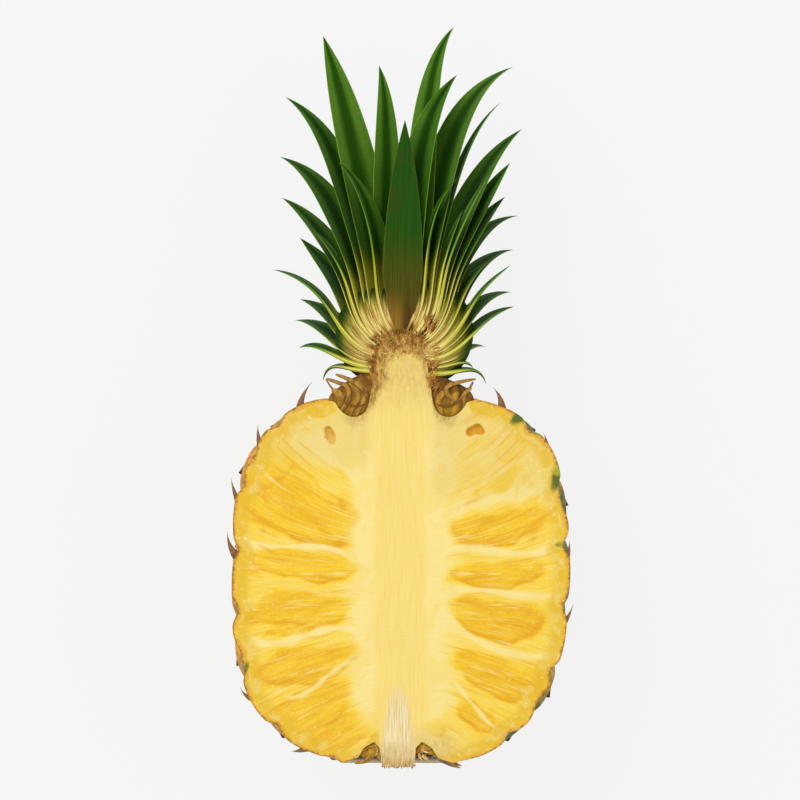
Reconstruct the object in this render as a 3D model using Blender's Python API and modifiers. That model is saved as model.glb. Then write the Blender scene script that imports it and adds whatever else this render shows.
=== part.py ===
"""Half of a pineapple with half of its crown, cut lengthwise, lying cut face up.

The fruit's axis runs along +Y at the height of the cut, with the crown at +Y. The rind
stands on the flattened top of one eye, and the origin is the middle of that flat. An
angle around the axis is 0 at the left end of the cut face, 90 straight down and 180 at
its right end. The crown's leaves fan out from one point on the axis, its heart.
Lengths are in metres and angles in degrees.
"""
import math

import bmesh
import bpy
import numpy as np
from mathutils import Matrix, Vector

COLLECTION_NAME = "halved_pineapple"
CUTTER_COLLECTION_NAME = "halved_pineapple_cutters"

# Fruit, a barrel whose outline is a superellipse, squarer at the shoulder
FRUIT_RADIUS = 0.0645
SHOULDER_HEIGHT = 0.0703
BASE_DEPTH = 0.0717
SHOULDER_POWER = 3.2
BASE_POWER = 2.7
SHOULDER_RIM_RADIUS = 0.0296
BASE_RIM_RADIUS = 0.0209
BASE_LEAN = 0.0012
PROFILE_POINTS = 1500
PROFILE_STEP = 0.0020
TURN_STEPS = 200
SEAM_MERGE = 0.00002
BODY_TRIANGLES = 7600
SHARP_ANGLE = 40.0

# Neck and stem above the moat round the shoulder, as (radius, height) down the outside
STEM_PROFILE = (
    (0.0000, 0.0927), (0.0046, 0.0920), (0.0076, 0.0893), (0.0091, 0.0859),
    (0.0106, 0.0771), (0.0114, 0.0714), (0.0122, 0.0657), (0.0144, 0.0619),
    (0.0190, 0.0608), (0.0228, 0.0631), (0.0251, 0.0667),
)
# Notch round the stub of the fruit's stalk, as (radius, height) down the outside
STALK_PROFILE = (
    (0.0152, -0.0684), (0.0129, -0.0646), (0.0091, -0.0623), (0.0068, -0.0646),
    (0.0065, -0.0692), (0.0057, -0.0718), (0.0000, -0.0718),
)

# The part of the rind that is lost to the flat it rests on, and the cut above it
FLAT_DEPTH = 0.0013
CUT_HEIGHT = FRUIT_RADIUS - FLAT_DEPTH
KNIFE_SIZE = 0.6

# Eyes of the rind, set out by the golden angle over equal areas
EYE_COUNT = 112
GOLDEN_ANGLE = 137.50776
EYE_GROOVE_DEPTH = 0.0019
EYE_GROOVE_WIDTH = 0.0046
EYE_DOME = 0.0007
EYE_RADIUS = 0.0105
CROWNWARD_SHARE = 0.002
RELIEF_FADE = 0.0060
RELIEF_ABOVE_CUT = 0.0060

# Small dry bract that stands on each eye
EYE_BRACT_LENGTH = 0.0110
EYE_BRACT_WIDTH = 0.0052
EYE_BRACT_THICKNESS = 0.0016
EYE_BRACT_TILT = 14.0
EYE_BRACT_FOOT = -0.0030
EYE_BRACT_SINK = 0.0007
EYE_BRACT_MIN_DEPTH = 0.0090

# Bracts that the knife left standing at the cut, as (right, up) of base and tip, and how far
# in towards the fruit's middle their feet are
EDGE_BRACTS = (
    ((-0.0403, 0.0661), (-0.0338, 0.0745)), ((-0.0551, 0.0502), (-0.0543, 0.0581)),
    ((-0.0631, 0.0274), (-0.0646, 0.0380)), ((-0.0650, 0.0080), (-0.0660, 0.0175)),
    ((-0.0562, -0.0483), (-0.0612, -0.0414)), ((-0.0357, -0.0669), (-0.0418, -0.0657)),
    ((0.0403, 0.0661), (0.0350, 0.0722)), ((0.0578, 0.0464), (0.0540, 0.0551)),
    ((0.0642, 0.0053), (0.0638, 0.0141)), ((0.0627, -0.0201), (0.0654, -0.0099)),
)
EDGE_BRACT_FOOT = 0.95
EDGE_BRACT_WIDTH = 0.0040
EDGE_BRACT_DEPTH = 0.0011

# Blossom cups opened by the cut near the shoulder: left and right, height, radii
CUP_CENTRES = ((-0.0289, 0.0555), (0.0262, 0.0555))
CUP_RADII = (0.0038, 0.0024, 0.0028)
CUP_SEGMENTS = (14, 8)

# Crown: where the leaves fan out from, and how their feet bend down round the stem
HEART_HEIGHT = 0.0878
HEART_RADIUS = 0.0040
HEART_SPREAD = 0.0150
FOOT_BEND = 80.0
FOOT_BEND_REACH = 0.0171
FOOT_BEND_POWER = 1.8
CURL_START = 0.45
CURL_POWER = 3
FOOT_SEARCH = (0.004, 0.030, 500)
AHEAD = 0.00001
LEAF_STEM_GAP = 0.0017
LEAF_CLEAR_OF_DOME = 0.0062
LEAF_FOOT_WIDTH = 0.65
LEAF_FULL_WIDTH_AT = 0.30
LEAF_WRAP_MIN_RADIUS = 0.0080
LEAF_CHANNEL = 0.08
LEAF_BASE_THICKNESS = 0.0006
LEAF_TIP_THICKNESS = 0.0005
LEAF_LENGTH_FACES = 10
LEAF_FACE_GROWTH = 1.45
LEAF_HALF_FACES = 1

# Each leaf's tip: to the right, above the heart, below the cut; then its width, the angle
# at which it leaves the heart, how far its foot stands nearer the bottom than its tip, how
# far it twists to face the cut, and how late it tapers
LEAVES = (
    (-0.0308, -0.0106, 0.0080, 0.013, 0.0, 0, 10, 3.0),
    (-0.0388, 0.0008, 0.0050, 0.015, 9.0, 0, 15, 3.0),
    (-0.0403, 0.0103, 0.0240, 0.018, 17.0, 0, 10, 2.6),
    (-0.0384, 0.0182, 0.0290, 0.015, 25.0, 0, 10, 2.6),
    (-0.0486, 0.0293, 0.0040, 0.015, 38.0, 0, 12, 3.0),
    (-0.0384, 0.0414, 0.0280, 0.018, 45.0, 0, 10, 2.6),
    (-0.0452, 0.0566, 0.0220, 0.019, 55.5, 0, 15, 3.2),
    (-0.0334, 0.0445, 0.0040, 0.013, 59.0, 0, 15, 3.0),
    (-0.0460, 0.0722, 0.0310, 0.021, 62.8, 0, 12, 3.4),
    (-0.0441, 0.0950, 0.0370, 0.018, 68.6, 0, 10, 3.4),
    (-0.0084, 0.1070, 0.0440, 0.013, 77.0, -34, 0, 3.4),
    (-0.0296, 0.1182, 0.0330, 0.020, 72.6, 0, 10, 4.0),
    (-0.0240, 0.0703, 0.0090, 0.017, 80.3, 10, 15, 3.0),
    (0.0331, -0.0125, 0.0070, 0.013, -6.2, 0, 10, 3.0),
    (0.0285, -0.0042, 0.0100, 0.012, 6.0, 0, 10, 2.6),
    (0.0319, 0.0023, 0.0140, 0.013, 13.0, 0, 10, 2.6),
    (0.0429, 0.0156, 0.0090, 0.015, 24.0, 0, 12, 3.0),
    (0.0418, 0.0209, 0.0180, 0.016, 32.8, 0, 12, 3.2),
    (0.0418, 0.0312, 0.0020, 0.011, 40.5, 0, 10, 3.0),
    (0.0429, 0.0369, 0.0260, 0.016, 46.2, 0, 10, 3.2),
    (0.0327, 0.0323, 0.0110, 0.013, 49.9, 0, 10, 4.0),
    (0.0448, 0.0498, 0.0320, 0.015, 53.6, 0, 10, 3.2),
    (0.0395, 0.0570, 0.0180, 0.017, 58.36, 0, 15, 3.4),
    (0.0414, 0.0699, 0.0200, 0.016, 61.03, 0, 15, 4.0),
    (0.0460, 0.0828, 0.0300, 0.020, 64.05, 0, 8, 3.4),
    (0.0338, 0.0657, 0.0030, 0.012, 67.57, 0, 15, 3.0),
    (0.0236, 0.0525, 0.0040, 0.011, 70.18, 0, 12, 3.0),
    (0.0426, 0.1064, 0.0380, 0.0212, 74.98, -3, 4, 4.0),
    (0.0380, 0.0931, 0.0220, 0.0090, 72.72, 0, 0, 3.2),
    (0.0201, 0.1216, 0.0500, 0.0142, 78.16, -20, 5, 3.2),
    (0.0224, 0.0650, 0.0034, 0.0115, 80.77, 37, 4, 3.0),
    (0.0213, 0.1034, 0.0235, 0.017, 84.0, 48, 13, 4.0),
    (0.0012, -0.0080, 0.0330, 0.014, -5.0, 0, 0, 3.0),
    (-0.0160, 0.0010, 0.0350, 0.014, 4.0, 0, 0, 3.0),
    (0.0150, 0.0060, 0.0360, 0.014, 10.0, 0, 0, 3.0),
    (-0.0030, 0.0160, 0.0410, 0.015, 16.8, 0, 0, 3.0),
    (0.0090, 0.0250, 0.0430, 0.015, 26.0, 0, 0, 3.0),
    (-0.0190, 0.0300, 0.0400, 0.015, 31.0, 0, 0, 3.0),
    (0.0210, 0.0390, 0.0390, 0.015, 38.0, 0, 0, 3.0),
    (-0.0020, 0.0440, 0.0460, 0.016, 49.5, 0, 0, 3.0),
    (0.0000, 0.0660, 0.0460, 0.014, 59.6, 0, 0, 3.0),
)

# Middle leaf, which stands flat just behind the cut: foot and tip as (right, height above
# the heart, below the cut), then its width at the foot and at its widest
MIDDLE_LEAF_FOOT = (0.0004, 0.0062, 0.0007)
MIDDLE_LEAF_TIP = (0.0015, 0.0863, 0.0018)
MIDDLE_LEAF_FOOT_WIDTH = 0.0080
MIDDLE_LEAF_WIDTH = 0.0160
MIDDLE_LEAF_TAPER = 2.8

# Dry curled bracts round the moat, as (angle round, tip radius, tip height), then the rest
DRY_BRACT_TIPS = (
    (5, 0.0285, 0.0753), (24, 0.0272, 0.0716), (46, 0.0300, 0.0722), (68, 0.0275, 0.0714),
    (91, 0.0296, 0.0730), (114, 0.0270, 0.0716), (136, 0.0300, 0.0721), (157, 0.0268, 0.0713),
    (175, 0.0274, 0.0745),
)
DRY_BRACT_FOOT = (0.0140, 0.0635)
DRY_BRACT_BEND = (0.0215, 0.0610)
DRY_BRACT_LIFT = 0.0022
DRY_BRACT_WIDTH = 0.0085
DRY_BRACT_FOOT_WIDTH = 0.0050
DRY_BRACT_THICKNESS = 0.0009
DRY_BRACT_TIP_SHARE = 0.5
DRY_BRACT_FACES = 6

FLESH = ((0.83, 0.56, 0.09, 1.0), 0.45, 0.0)
LEAF_GREEN = ((0.06, 0.16, 0.03, 1.0), 0.40, 0.0)
DRY_BROWN = ((0.33, 0.19, 0.08, 1.0), 0.80, 0.0)


def remove_scene_objects():
    for item in list(bpy.data.objects):
        bpy.data.objects.remove(item, do_unlink=True)


def new_collection(name):
    collection = bpy.data.collections.new(name)
    bpy.context.scene.collection.children.link(collection)
    return collection


def new_material(name, look):
    colour, roughness, metallic = look
    material = bpy.data.materials.new(name)
    material.use_nodes = True
    shader = material.node_tree.nodes["Principled BSDF"]
    shader.inputs["Base Color"].default_value = colour
    shader.inputs["Roughness"].default_value = roughness
    shader.inputs["Metallic"].default_value = metallic
    return material


def new_object(name, mesh, collection, material=None):
    item = bpy.data.objects.new(name, mesh)
    collection.objects.link(item)
    if material:
        mesh.materials.clear()
        mesh.materials.append(material)
    return item


def bake_modifiers(item):
    """Replace the object's mesh by the one its modifiers make."""
    bpy.context.view_layer.update()
    evaluated = item.evaluated_get(bpy.context.evaluated_depsgraph_get())
    mesh = bpy.data.meshes.new_from_object(evaluated)
    item.modifiers.clear()
    item.data = mesh


def mesh_points(mesh):
    points = np.empty(len(mesh.vertices) * 3)
    mesh.vertices.foreach_get("co", points)
    return points.reshape(-1, 3)


def mesh_normals(mesh):
    normals = np.empty(len(mesh.vertices) * 3)
    mesh.vertex_normals.foreach_get("vector", normals)
    return normals.reshape(-1, 3)


def smooth_step(share):
    share = np.clip(share, 0.0, 1.0)
    return share * share * (3.0 - 2.0 * share)


def add_cutter(name, size, centre, collection):
    """A box that the Boolean modifiers cut with."""
    mesh = bpy.data.meshes.new(name)
    shape = bmesh.new()
    bmesh.ops.create_cube(shape, size=size)
    shape.to_mesh(mesh)
    shape.free()
    cutter = new_object(name, mesh, collection)
    cutter.location = centre
    cutter.hide_render = True
    cutter.display_type = "WIRE"
    return cutter


def cut_with(item, cutter):
    boolean = item.modifiers.new("cut_by_" + cutter.name, "BOOLEAN")
    boolean.operation = "DIFFERENCE"
    boolean.solver = "EXACT"
    boolean.object = cutter


def barrel_profile():
    """(radius, height) of the rind from the moat's rim down to the base, finely spaced."""
    turn = np.linspace(0.0, math.pi / 2, PROFILE_POINTS)
    upper_radius = FRUIT_RADIUS * np.sin(turn) ** (2 / SHOULDER_POWER)
    upper_height = SHOULDER_HEIGHT * np.cos(turn) ** (2 / SHOULDER_POWER)
    lower_radius = FRUIT_RADIUS * np.cos(turn) ** (2 / BASE_POWER)
    lower_height = -BASE_DEPTH * np.sin(turn) ** (2 / BASE_POWER)
    upper = np.stack([upper_radius, upper_height], -1)[upper_radius > SHOULDER_RIM_RADIUS]
    lower = np.stack([lower_radius, lower_height], -1)[lower_radius > BASE_RIM_RADIUS]
    return np.concatenate([upper, lower[1:]])


def path_lengths(points):
    steps = np.linalg.norm(np.diff(points, axis=0), axis=1)
    return np.concatenate([[0.0], np.cumsum(steps)])


def resampled(points, step):
    """The same line with its points evenly spaced."""
    along = path_lengths(points)
    stops = np.linspace(0.0, along[-1], int(along[-1] / step) + 1)
    return np.stack([np.interp(stops, along, points[:, axis]) for axis in (0, 1)], -1)


def place_on_axis(radius, around, height):
    """World points from a radius, an angle round the fruit's axis and a height on it."""
    turn = np.radians(around)
    return np.stack([-radius * np.cos(turn), height + 0 * radius,
                     CUT_HEIGHT - radius * np.sin(turn)], -1)


def eye_places():
    """Middles of the eyes with the outward and crownward directions there."""
    profile = barrel_profile()
    spans = np.diff(path_lengths(profile))
    rings = spans * (profile[1:, 0] + profile[:-1, 0]) / 2
    area = np.concatenate([[0.0], np.cumsum(rings)])
    area /= area[-1]
    rest_share = np.interp(0.0, -profile[:, 1], area)
    number = np.arange(EYE_COUNT) - int(rest_share * EYE_COUNT)
    share = rest_share + number / EYE_COUNT
    number, share = number[(share > 0) & (share < 1)], share[(share > 0) & (share < 1)]
    radius = np.interp(share, area, profile[:, 0])
    height = np.interp(share, area, profile[:, 1])
    around = 90.0 + number * GOLDEN_ANGLE
    middle = place_on_axis(radius, around, height)
    next_radius = np.interp(share - CROWNWARD_SHARE, area, profile[:, 0])
    next_height = np.interp(share - CROWNWARD_SHARE, area, profile[:, 1])
    crownward = place_on_axis(next_radius, around, next_height) - middle
    crownward /= np.linalg.norm(crownward, axis=1, keepdims=True)
    across = place_on_axis(np.ones_like(around), around + 90.0, 0.0 * height)
    across[:, 2] -= CUT_HEIGHT
    outward = np.cross(across, crownward)
    return middle, outward, crownward


def eye_relief(points):
    """How far each point of the smooth rind moves outwards: grooves round domed eyes."""
    middles = eye_places()[0]
    distance = np.linalg.norm(points[:, None] - middles[None], axis=2)
    distance.sort(axis=1)
    to_border = (distance[:, 1] - distance[:, 0]) / 2
    groove = 1 - smooth_step(to_border / EYE_GROOVE_WIDTH)
    dome = np.clip(1 - (distance[:, 0] / EYE_RADIUS) ** 2, 0, 1)
    radius = np.hypot(points[:, 0], points[:, 2] - CUT_HEIGHT)
    on_rind = smooth_step((radius - BASE_RIM_RADIUS) / RELIEF_FADE)
    in_moat = (points[:, 1] > 0) & (radius < SHOULDER_RIM_RADIUS)
    below = smooth_step((CUT_HEIGHT + RELIEF_ABOVE_CUT - points[:, 2]) / RELIEF_ABOVE_CUT)
    relief = EYE_DOME * dome - EYE_GROOVE_DEPTH * groove - EYE_DOME
    return relief * on_rind * below * ~in_moat


def lean_base(points):
    """How far right points move: the fruit's lower half stands a little to the left."""
    return -BASE_LEAN * smooth_step(-2 * points[:, 1] / BASE_DEPTH)


def turned_fruit(collection):
    """Whole fruit and stem, turned smooth about the axis."""
    profile = np.concatenate([STEM_PROFILE, barrel_profile(), STALK_PROFILE])
    profile = resampled(profile, PROFILE_STEP)
    profile[0, 0] = profile[-1, 0] = 0.0
    mesh = bpy.data.meshes.new("half_fruit")
    corners = [(radius, 0.0, height) for radius, height in profile]
    mesh.from_pydata(corners, [(i, i + 1) for i in range(len(corners) - 1)], [])
    item = new_object("half_fruit", mesh, collection)
    screw = item.modifiers.new("turn", "SCREW")
    screw.axis = "Z"
    screw.angle = math.radians(360)
    screw.steps = screw.render_steps = TURN_STEPS
    screw.use_merge_vertices = True
    screw.merge_threshold = SEAM_MERGE
    bake_modifiers(item)
    item.data.transform(Matrix.Rotation(math.radians(-90), 4, "X"))
    item.data.transform(Matrix.Translation((0, 0, CUT_HEIGHT)))
    return item


def shape_rind(item):
    """Press the eyes into the smooth rind, lean the base, and thin the mesh out."""
    points = mesh_points(item.data)
    moved = points + mesh_normals(item.data) * eye_relief(points)[:, None]
    moved[:, 0] += lean_base(points)
    item.data.vertices.foreach_set("co", moved.ravel())
    item.data.update()
    thin = item.modifiers.new("thin_out", "DECIMATE")
    thin.ratio = BODY_TRIANGLES / (2 * len(item.data.polygons))
    thin.use_collapse_triangulate = True
    bake_modifiers(item)


def eye_bract_mesh():
    """A flat four-sided spike along +Z with its foot at the origin."""
    shape = bmesh.new()
    bmesh.ops.create_cone(shape, cap_ends=True, segments=4, radius1=0.5, radius2=0.0, depth=1.0)
    bmesh.ops.translate(shape, verts=shape.verts, vec=(0, 0, 0.5))
    size = (EYE_BRACT_WIDTH, EYE_BRACT_THICKNESS, EYE_BRACT_LENGTH)
    bmesh.ops.scale(shape, verts=shape.verts, vec=size)
    mesh = bpy.data.meshes.new("eye_bract")
    shape.to_mesh(mesh)
    shape.free()
    return mesh


def place_bract(mesh, foot, across, thick, along, collection):
    """One bract, with its foot and its own three directions given."""
    bract = bpy.data.objects.new("eye_bract", mesh)
    collection.objects.link(bract)
    basis = Matrix((across, thick, along)).transposed().to_4x4()
    bract.matrix_world = Matrix.Translation(foot) @ basis


def place_edge_bracts(mesh, collection):
    """The bracts at the cut, which lie level, just below the cut face."""
    for base, tip in EDGE_BRACTS:
        foot = Vector((*base, 0.0)) * EDGE_BRACT_FOOT
        reach = Vector((*tip, 0.0)) - foot
        along = reach / EYE_BRACT_LENGTH
        across = reach.normalized().cross(Vector((0, 0, 1))) * EDGE_BRACT_WIDTH / EYE_BRACT_WIDTH
        foot.z = CUT_HEIGHT - EDGE_BRACT_DEPTH
        place_bract(mesh, foot, across, Vector((0, 0, 1)), along, collection)


def add_eye_bracts(item, cutters):
    """Join a dry bract to every eye that the half keeps, and those that stand at the cut."""
    bracts = bpy.data.collections.new("eye_bracts")
    cutters.children.link(bracts)
    mesh = eye_bract_mesh()
    place_edge_bracts(mesh, bracts)
    tilt = math.radians(EYE_BRACT_TILT)
    for middle, outward, crownward in zip(*eye_places()):
        if CUT_HEIGHT - middle[2] < EYE_BRACT_MIN_DEPTH or middle[2] < FLAT_DEPTH * 2:
            continue
        out, up = Vector(outward), Vector(crownward)
        along = up * math.cos(tilt) + out * math.sin(tilt)
        thick = out * math.cos(tilt) - up * math.sin(tilt)
        foot = Vector(middle) + up * EYE_BRACT_FOOT - out * EYE_BRACT_SINK
        foot.x += lean_base(middle[None])[0]
        place_bract(mesh, foot, along.cross(thick) * -1, thick, along, bracts)
    union = item.modifiers.new("join_eye_bracts", "BOOLEAN")
    union.operation = "UNION"
    union.operand_type = "COLLECTION"
    union.collection = bracts
    bake_modifiers(item)
    for bract in list(bracts.objects):
        bpy.data.objects.remove(bract, do_unlink=True)
    bpy.data.collections.remove(bracts)


def add_cups(item, cutters):
    """Cut the blossom cups that lie open in the cut face."""
    for number, (right, height) in enumerate(CUP_CENTRES, 1):
        mesh = bpy.data.meshes.new(f"cup_{number}")
        shape = bmesh.new()
        segments, rings = CUP_SEGMENTS
        bmesh.ops.create_uvsphere(shape, u_segments=segments, v_segments=rings, radius=1.0)
        bmesh.ops.scale(shape, verts=shape.verts, vec=CUP_RADII)
        shape.to_mesh(mesh)
        shape.free()
        cup = new_object(f"cup_{number}", mesh, cutters)
        cup.location = (right, height, CUT_HEIGHT)
        cup.hide_render = True
        cup.display_type = "WIRE"
        cut_with(item, cup)


def make_half_fruit(collection, cutters, knife, table):
    item = turned_fruit(collection)
    shape_rind(item)
    add_eye_bracts(item, cutters)
    cut_with(item, knife)
    cut_with(item, table)
    add_cups(item, cutters)
    bake_modifiers(item)
    item.data.materials.append(new_material("flesh", FLESH))
    item.data.shade_smooth()
    item.data.set_sharp_from_angle(angle=math.radians(SHARP_ANGLE))


def stem_radius(height):
    """Radius of the stem at a height above the heart."""
    stem = np.array(STEM_PROFILE)[::-1]
    return np.interp(height + HEART_HEIGHT, stem[:, 1], stem[:, 0])


def leaf_rise(leaf, reach_at):
    """Angle above the heart's level, in radians, of a leaf's midrib at a reach from it.

    The angle is the leaf's own, less a bend that fades with the reach and brings its foot
    down round the stem, less a curl that grows towards the tip.
    """
    right, height, depth, _, own, _, _, _ = leaf
    out = math.hypot(right, depth) - HEART_RADIUS
    reach = math.hypot(out, height)
    curl = own - math.degrees(math.atan2(height, out))
    foot_bend = FOOT_BEND * (1 - min(max(own / 90, 0), 1) ** 3)
    fade = np.exp(-(reach_at / FOOT_BEND_REACH) ** FOOT_BEND_POWER)
    tipward = np.clip((reach_at / reach - CURL_START) / (1 - CURL_START), 0, 1)
    return np.radians(own - foot_bend * fade - curl * tipward ** CURL_POWER)


def midrib(leaf, reach):
    """(radius, height above the heart) of a leaf's midrib, which keeps clear of the axis."""
    rise = leaf_rise(leaf, reach)
    spread = HEART_RADIUS * (1 - np.exp(-(reach / HEART_SPREAD) ** 2))
    return reach * np.cos(rise) + spread, reach * np.sin(rise)


def leaf_foot_reach(leaf):
    """Reach at which a leaf comes clear of the stem."""
    reach = np.linspace(*FOOT_SEARCH)
    radius, height = midrib(leaf, reach)
    blocked = (radius < stem_radius(height) + LEAF_STEM_GAP) & (height < LEAF_CLEAR_OF_DOME)
    return reach[np.nonzero(blocked)[0][-1] + 1]


def leaf_points(leaf, across, along):
    """World points of a leaf's middle surface.

    across runs from -1 to 1 between its margins and along from 0 at its foot to 1 at its
    tip. The surface wraps round the fruit's axis, with its margins raised in a channel and
    the whole blade twisted to face the cut.
    """
    right, height, depth, width, _, lean, twist, taper = leaf
    tip_reach = math.hypot(math.hypot(right, depth) - HEART_RADIUS, height)
    foot_reach = leaf_foot_reach(leaf)
    reach = foot_reach + (tip_reach - foot_reach) * along
    radius, level = midrib(leaf, reach)
    swell = LEAF_FOOT_WIDTH + (1 - LEAF_FOOT_WIDTH) * smooth_step(along / LEAF_FULL_WIDTH_AT)
    half = 0.5 * width * swell * (1 - along ** taper)
    turn = np.radians(twist) * along
    sideways = half * across * np.cos(turn)
    lift = half * across * np.sin(turn) * np.sign(-right)
    lift = lift + LEAF_CHANNEL * half * across ** 2 * np.clip(2 * along, 0, 1)
    around = math.atan2(depth, -right) - math.radians(lean) * np.sign(right) * (1 - along) ** 2
    around = around + sideways / np.maximum(radius, LEAF_WRAP_MIN_RADIUS)
    ahead_radius, ahead_level = midrib(leaf, reach + AHEAD)
    out_step, up_step = ahead_radius - radius, ahead_level - level
    step = np.hypot(out_step, up_step)
    radius = radius - lift * up_step / step
    level = HEART_HEIGHT + level + lift * out_step / step
    return place_on_axis(radius, np.degrees(around), level)


def middle_leaf_points(across, along):
    """World points of the leaf that stands flat across the axis, just behind the cut."""
    foot, tip = np.array(MIDDLE_LEAF_FOOT), np.array(MIDDLE_LEAF_TIP)
    middle = foot + (tip - foot) * along[..., None]
    width = MIDDLE_LEAF_FOOT_WIDTH + (MIDDLE_LEAF_WIDTH - MIDDLE_LEAF_FOOT_WIDTH) * smooth_step(
        along / LEAF_FULL_WIDTH_AT)
    half = 0.5 * width * (1 - along ** MIDDLE_LEAF_TAPER)
    deep = middle[..., 2] + LEAF_CHANNEL * half * (1 - across ** 2) * np.clip(3 * along, 0, 1)
    return np.stack([middle[..., 0] + half * across, HEART_HEIGHT + middle[..., 1],
                     CUT_HEIGHT - deep], -1)


def dry_bract_points(tip, layer, across, along):
    """World points of a dry bract, a curved strip from the neck out over the moat."""
    around, tip_radius, tip_height = tip
    lift = np.array((0.0, layer * DRY_BRACT_LIFT))
    foot, bend = np.array(DRY_BRACT_FOOT) + lift, np.array(DRY_BRACT_BEND) + lift
    end = np.array((tip_radius, tip_height))
    share = along[..., None]
    line = foot * (1 - share) ** 2 + 2 * bend * share * (1 - share) + end * share ** 2
    width = DRY_BRACT_FOOT_WIDTH + (DRY_BRACT_WIDTH - DRY_BRACT_FOOT_WIDTH) * smooth_step(
        along / 0.5)
    half = 0.5 * width * (1 - along ** 2)
    turn = around + np.degrees(half * across / line[..., 0])
    return place_on_axis(line[..., 0], turn, line[..., 1])


def blade_mesh(name, surface, length_faces, half_faces):
    """A grid of a surface given by across and along, closing to a point at its tip."""
    across = np.linspace(-1, 1, 2 * half_faces + 1)
    along = np.linspace(0, 1, length_faces + 1)[:-1] ** LEAF_FACE_GROWTH
    side, run = np.meshgrid(across, along)
    points = surface(side, run).reshape(-1, 3)
    tip = surface(np.zeros(1), np.ones(1))
    row = len(across)
    faces = [(i * row + j, i * row + j + 1, (i + 1) * row + j + 1, (i + 1) * row + j)
             for i in range(length_faces - 1) for j in range(row - 1)]
    last = (length_faces - 1) * row
    faces += [(last + j, last + j + 1, len(points)) for j in range(row - 1)]
    mesh = bpy.data.meshes.new(name)
    mesh.from_pydata(np.concatenate([points, tip]).tolist(), [], faces)
    shape = bmesh.new()
    shape.from_mesh(mesh)
    bmesh.ops.triangulate(shape, faces=shape.faces)
    shape.to_mesh(mesh)
    shape.free()
    return mesh, run.ravel()


def make_blade(name, surface, thickness, tip_share, faces, collection, material, knife):
    """One thin blade: its surface, given a thickness that falls off to the tip, and cut."""
    mesh, run = blade_mesh(name, surface, *faces)
    item = new_object(name, mesh, collection, material)
    taper = item.vertex_groups.new(name="taper")
    for number, share in enumerate(run):
        taper.add([number], 1 - share, "REPLACE")
    taper.add([len(run)], 0.0, "REPLACE")
    wall = item.modifiers.new("thickness", "SOLIDIFY")
    wall.thickness = thickness
    wall.offset = 0.0
    wall.vertex_group = taper.name
    wall.thickness_vertex_group = tip_share
    bake_modifiers(item)
    if mesh_points(item.data)[:, 2].max() > CUT_HEIGHT:
        cut_with(item, knife)
        bake_modifiers(item)
    item.data.shade_smooth()
    return item


def make_crown(collection, knife):
    green = new_material("leaf", LEAF_GREEN)
    tip_share = LEAF_TIP_THICKNESS / LEAF_BASE_THICKNESS
    faces = (LEAF_LENGTH_FACES, LEAF_HALF_FACES)
    for number, leaf in enumerate(LEAVES, 1):
        make_blade(f"leaf_{number:02d}", lambda a, b: leaf_points(leaf, a, b),
                   LEAF_BASE_THICKNESS, tip_share, faces, collection, green, knife)
    make_blade("leaf_middle", middle_leaf_points, LEAF_BASE_THICKNESS, tip_share, faces,
               collection, green, knife)


def make_dry_bracts(collection, knife):
    brown = new_material("dry_bract", DRY_BROWN)
    for number, tip in enumerate(DRY_BRACT_TIPS, 1):
        layer = number % 2
        make_blade(f"dry_bract_{number:02d}", lambda a, b: dry_bract_points(tip, layer, a, b),
                   DRY_BRACT_THICKNESS, DRY_BRACT_TIP_SHARE, (DRY_BRACT_FACES, 1), collection,
                   brown, knife)


def main():
    remove_scene_objects()
    collection = new_collection(COLLECTION_NAME)
    cutters = new_collection(CUTTER_COLLECTION_NAME)
    knife = add_cutter("knife", KNIFE_SIZE, (0, 0, CUT_HEIGHT + KNIFE_SIZE / 2), cutters)
    table = add_cutter("table", KNIFE_SIZE, (0, 0, -KNIFE_SIZE / 2), cutters)
    make_half_fruit(collection, cutters, knife, table)
    make_crown(collection, knife)
    make_dry_bracts(collection, knife)


main()
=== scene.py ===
"""Looks of a pineapple half that lies cut face up, with half of its crown of leaves.

Lengths are in metres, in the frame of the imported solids: +Y runs along the fruit's axis
to the crown, +Z is up, and the cut face is level, at CUT_HEIGHT.
"""

import math

import bpy
import numpy as np
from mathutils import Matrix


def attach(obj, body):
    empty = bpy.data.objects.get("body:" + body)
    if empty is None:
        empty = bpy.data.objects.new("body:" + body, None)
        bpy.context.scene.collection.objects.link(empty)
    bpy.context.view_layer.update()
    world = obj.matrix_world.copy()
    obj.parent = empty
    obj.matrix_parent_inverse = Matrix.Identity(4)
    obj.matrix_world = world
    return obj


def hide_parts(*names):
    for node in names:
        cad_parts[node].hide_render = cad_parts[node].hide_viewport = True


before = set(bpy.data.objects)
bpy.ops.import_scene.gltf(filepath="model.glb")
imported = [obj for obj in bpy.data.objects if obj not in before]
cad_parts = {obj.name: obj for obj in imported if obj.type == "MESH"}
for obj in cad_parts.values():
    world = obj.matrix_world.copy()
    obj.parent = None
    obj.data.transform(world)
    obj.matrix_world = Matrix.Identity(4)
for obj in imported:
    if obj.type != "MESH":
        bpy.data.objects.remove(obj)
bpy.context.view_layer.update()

# The studio: a wide pale table seen from straight above, with no perspective, a bright even
# room, and one large soft lamp over the crown's left. The table glows, so that the
# picture's ground stays even right up to the fruit.
VIEW_CENTRE = (-0.0004, 0.0676, 1.0)
VIEW_WIDTH = 0.304
TABLE_SIZE = 6.0
TABLE_GLOW = 0.843
TABLE_COLOUR = (0.07, 0.07, 0.07, 1.0)
ROOM_LIGHT = 0.68
SOFT_LAMPS = (
    ((-0.9, 0.9, 1.5), 1.3, 20.0),
    ((1.2, -0.2, 1.2), 1.0, 4.0),
)


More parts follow.
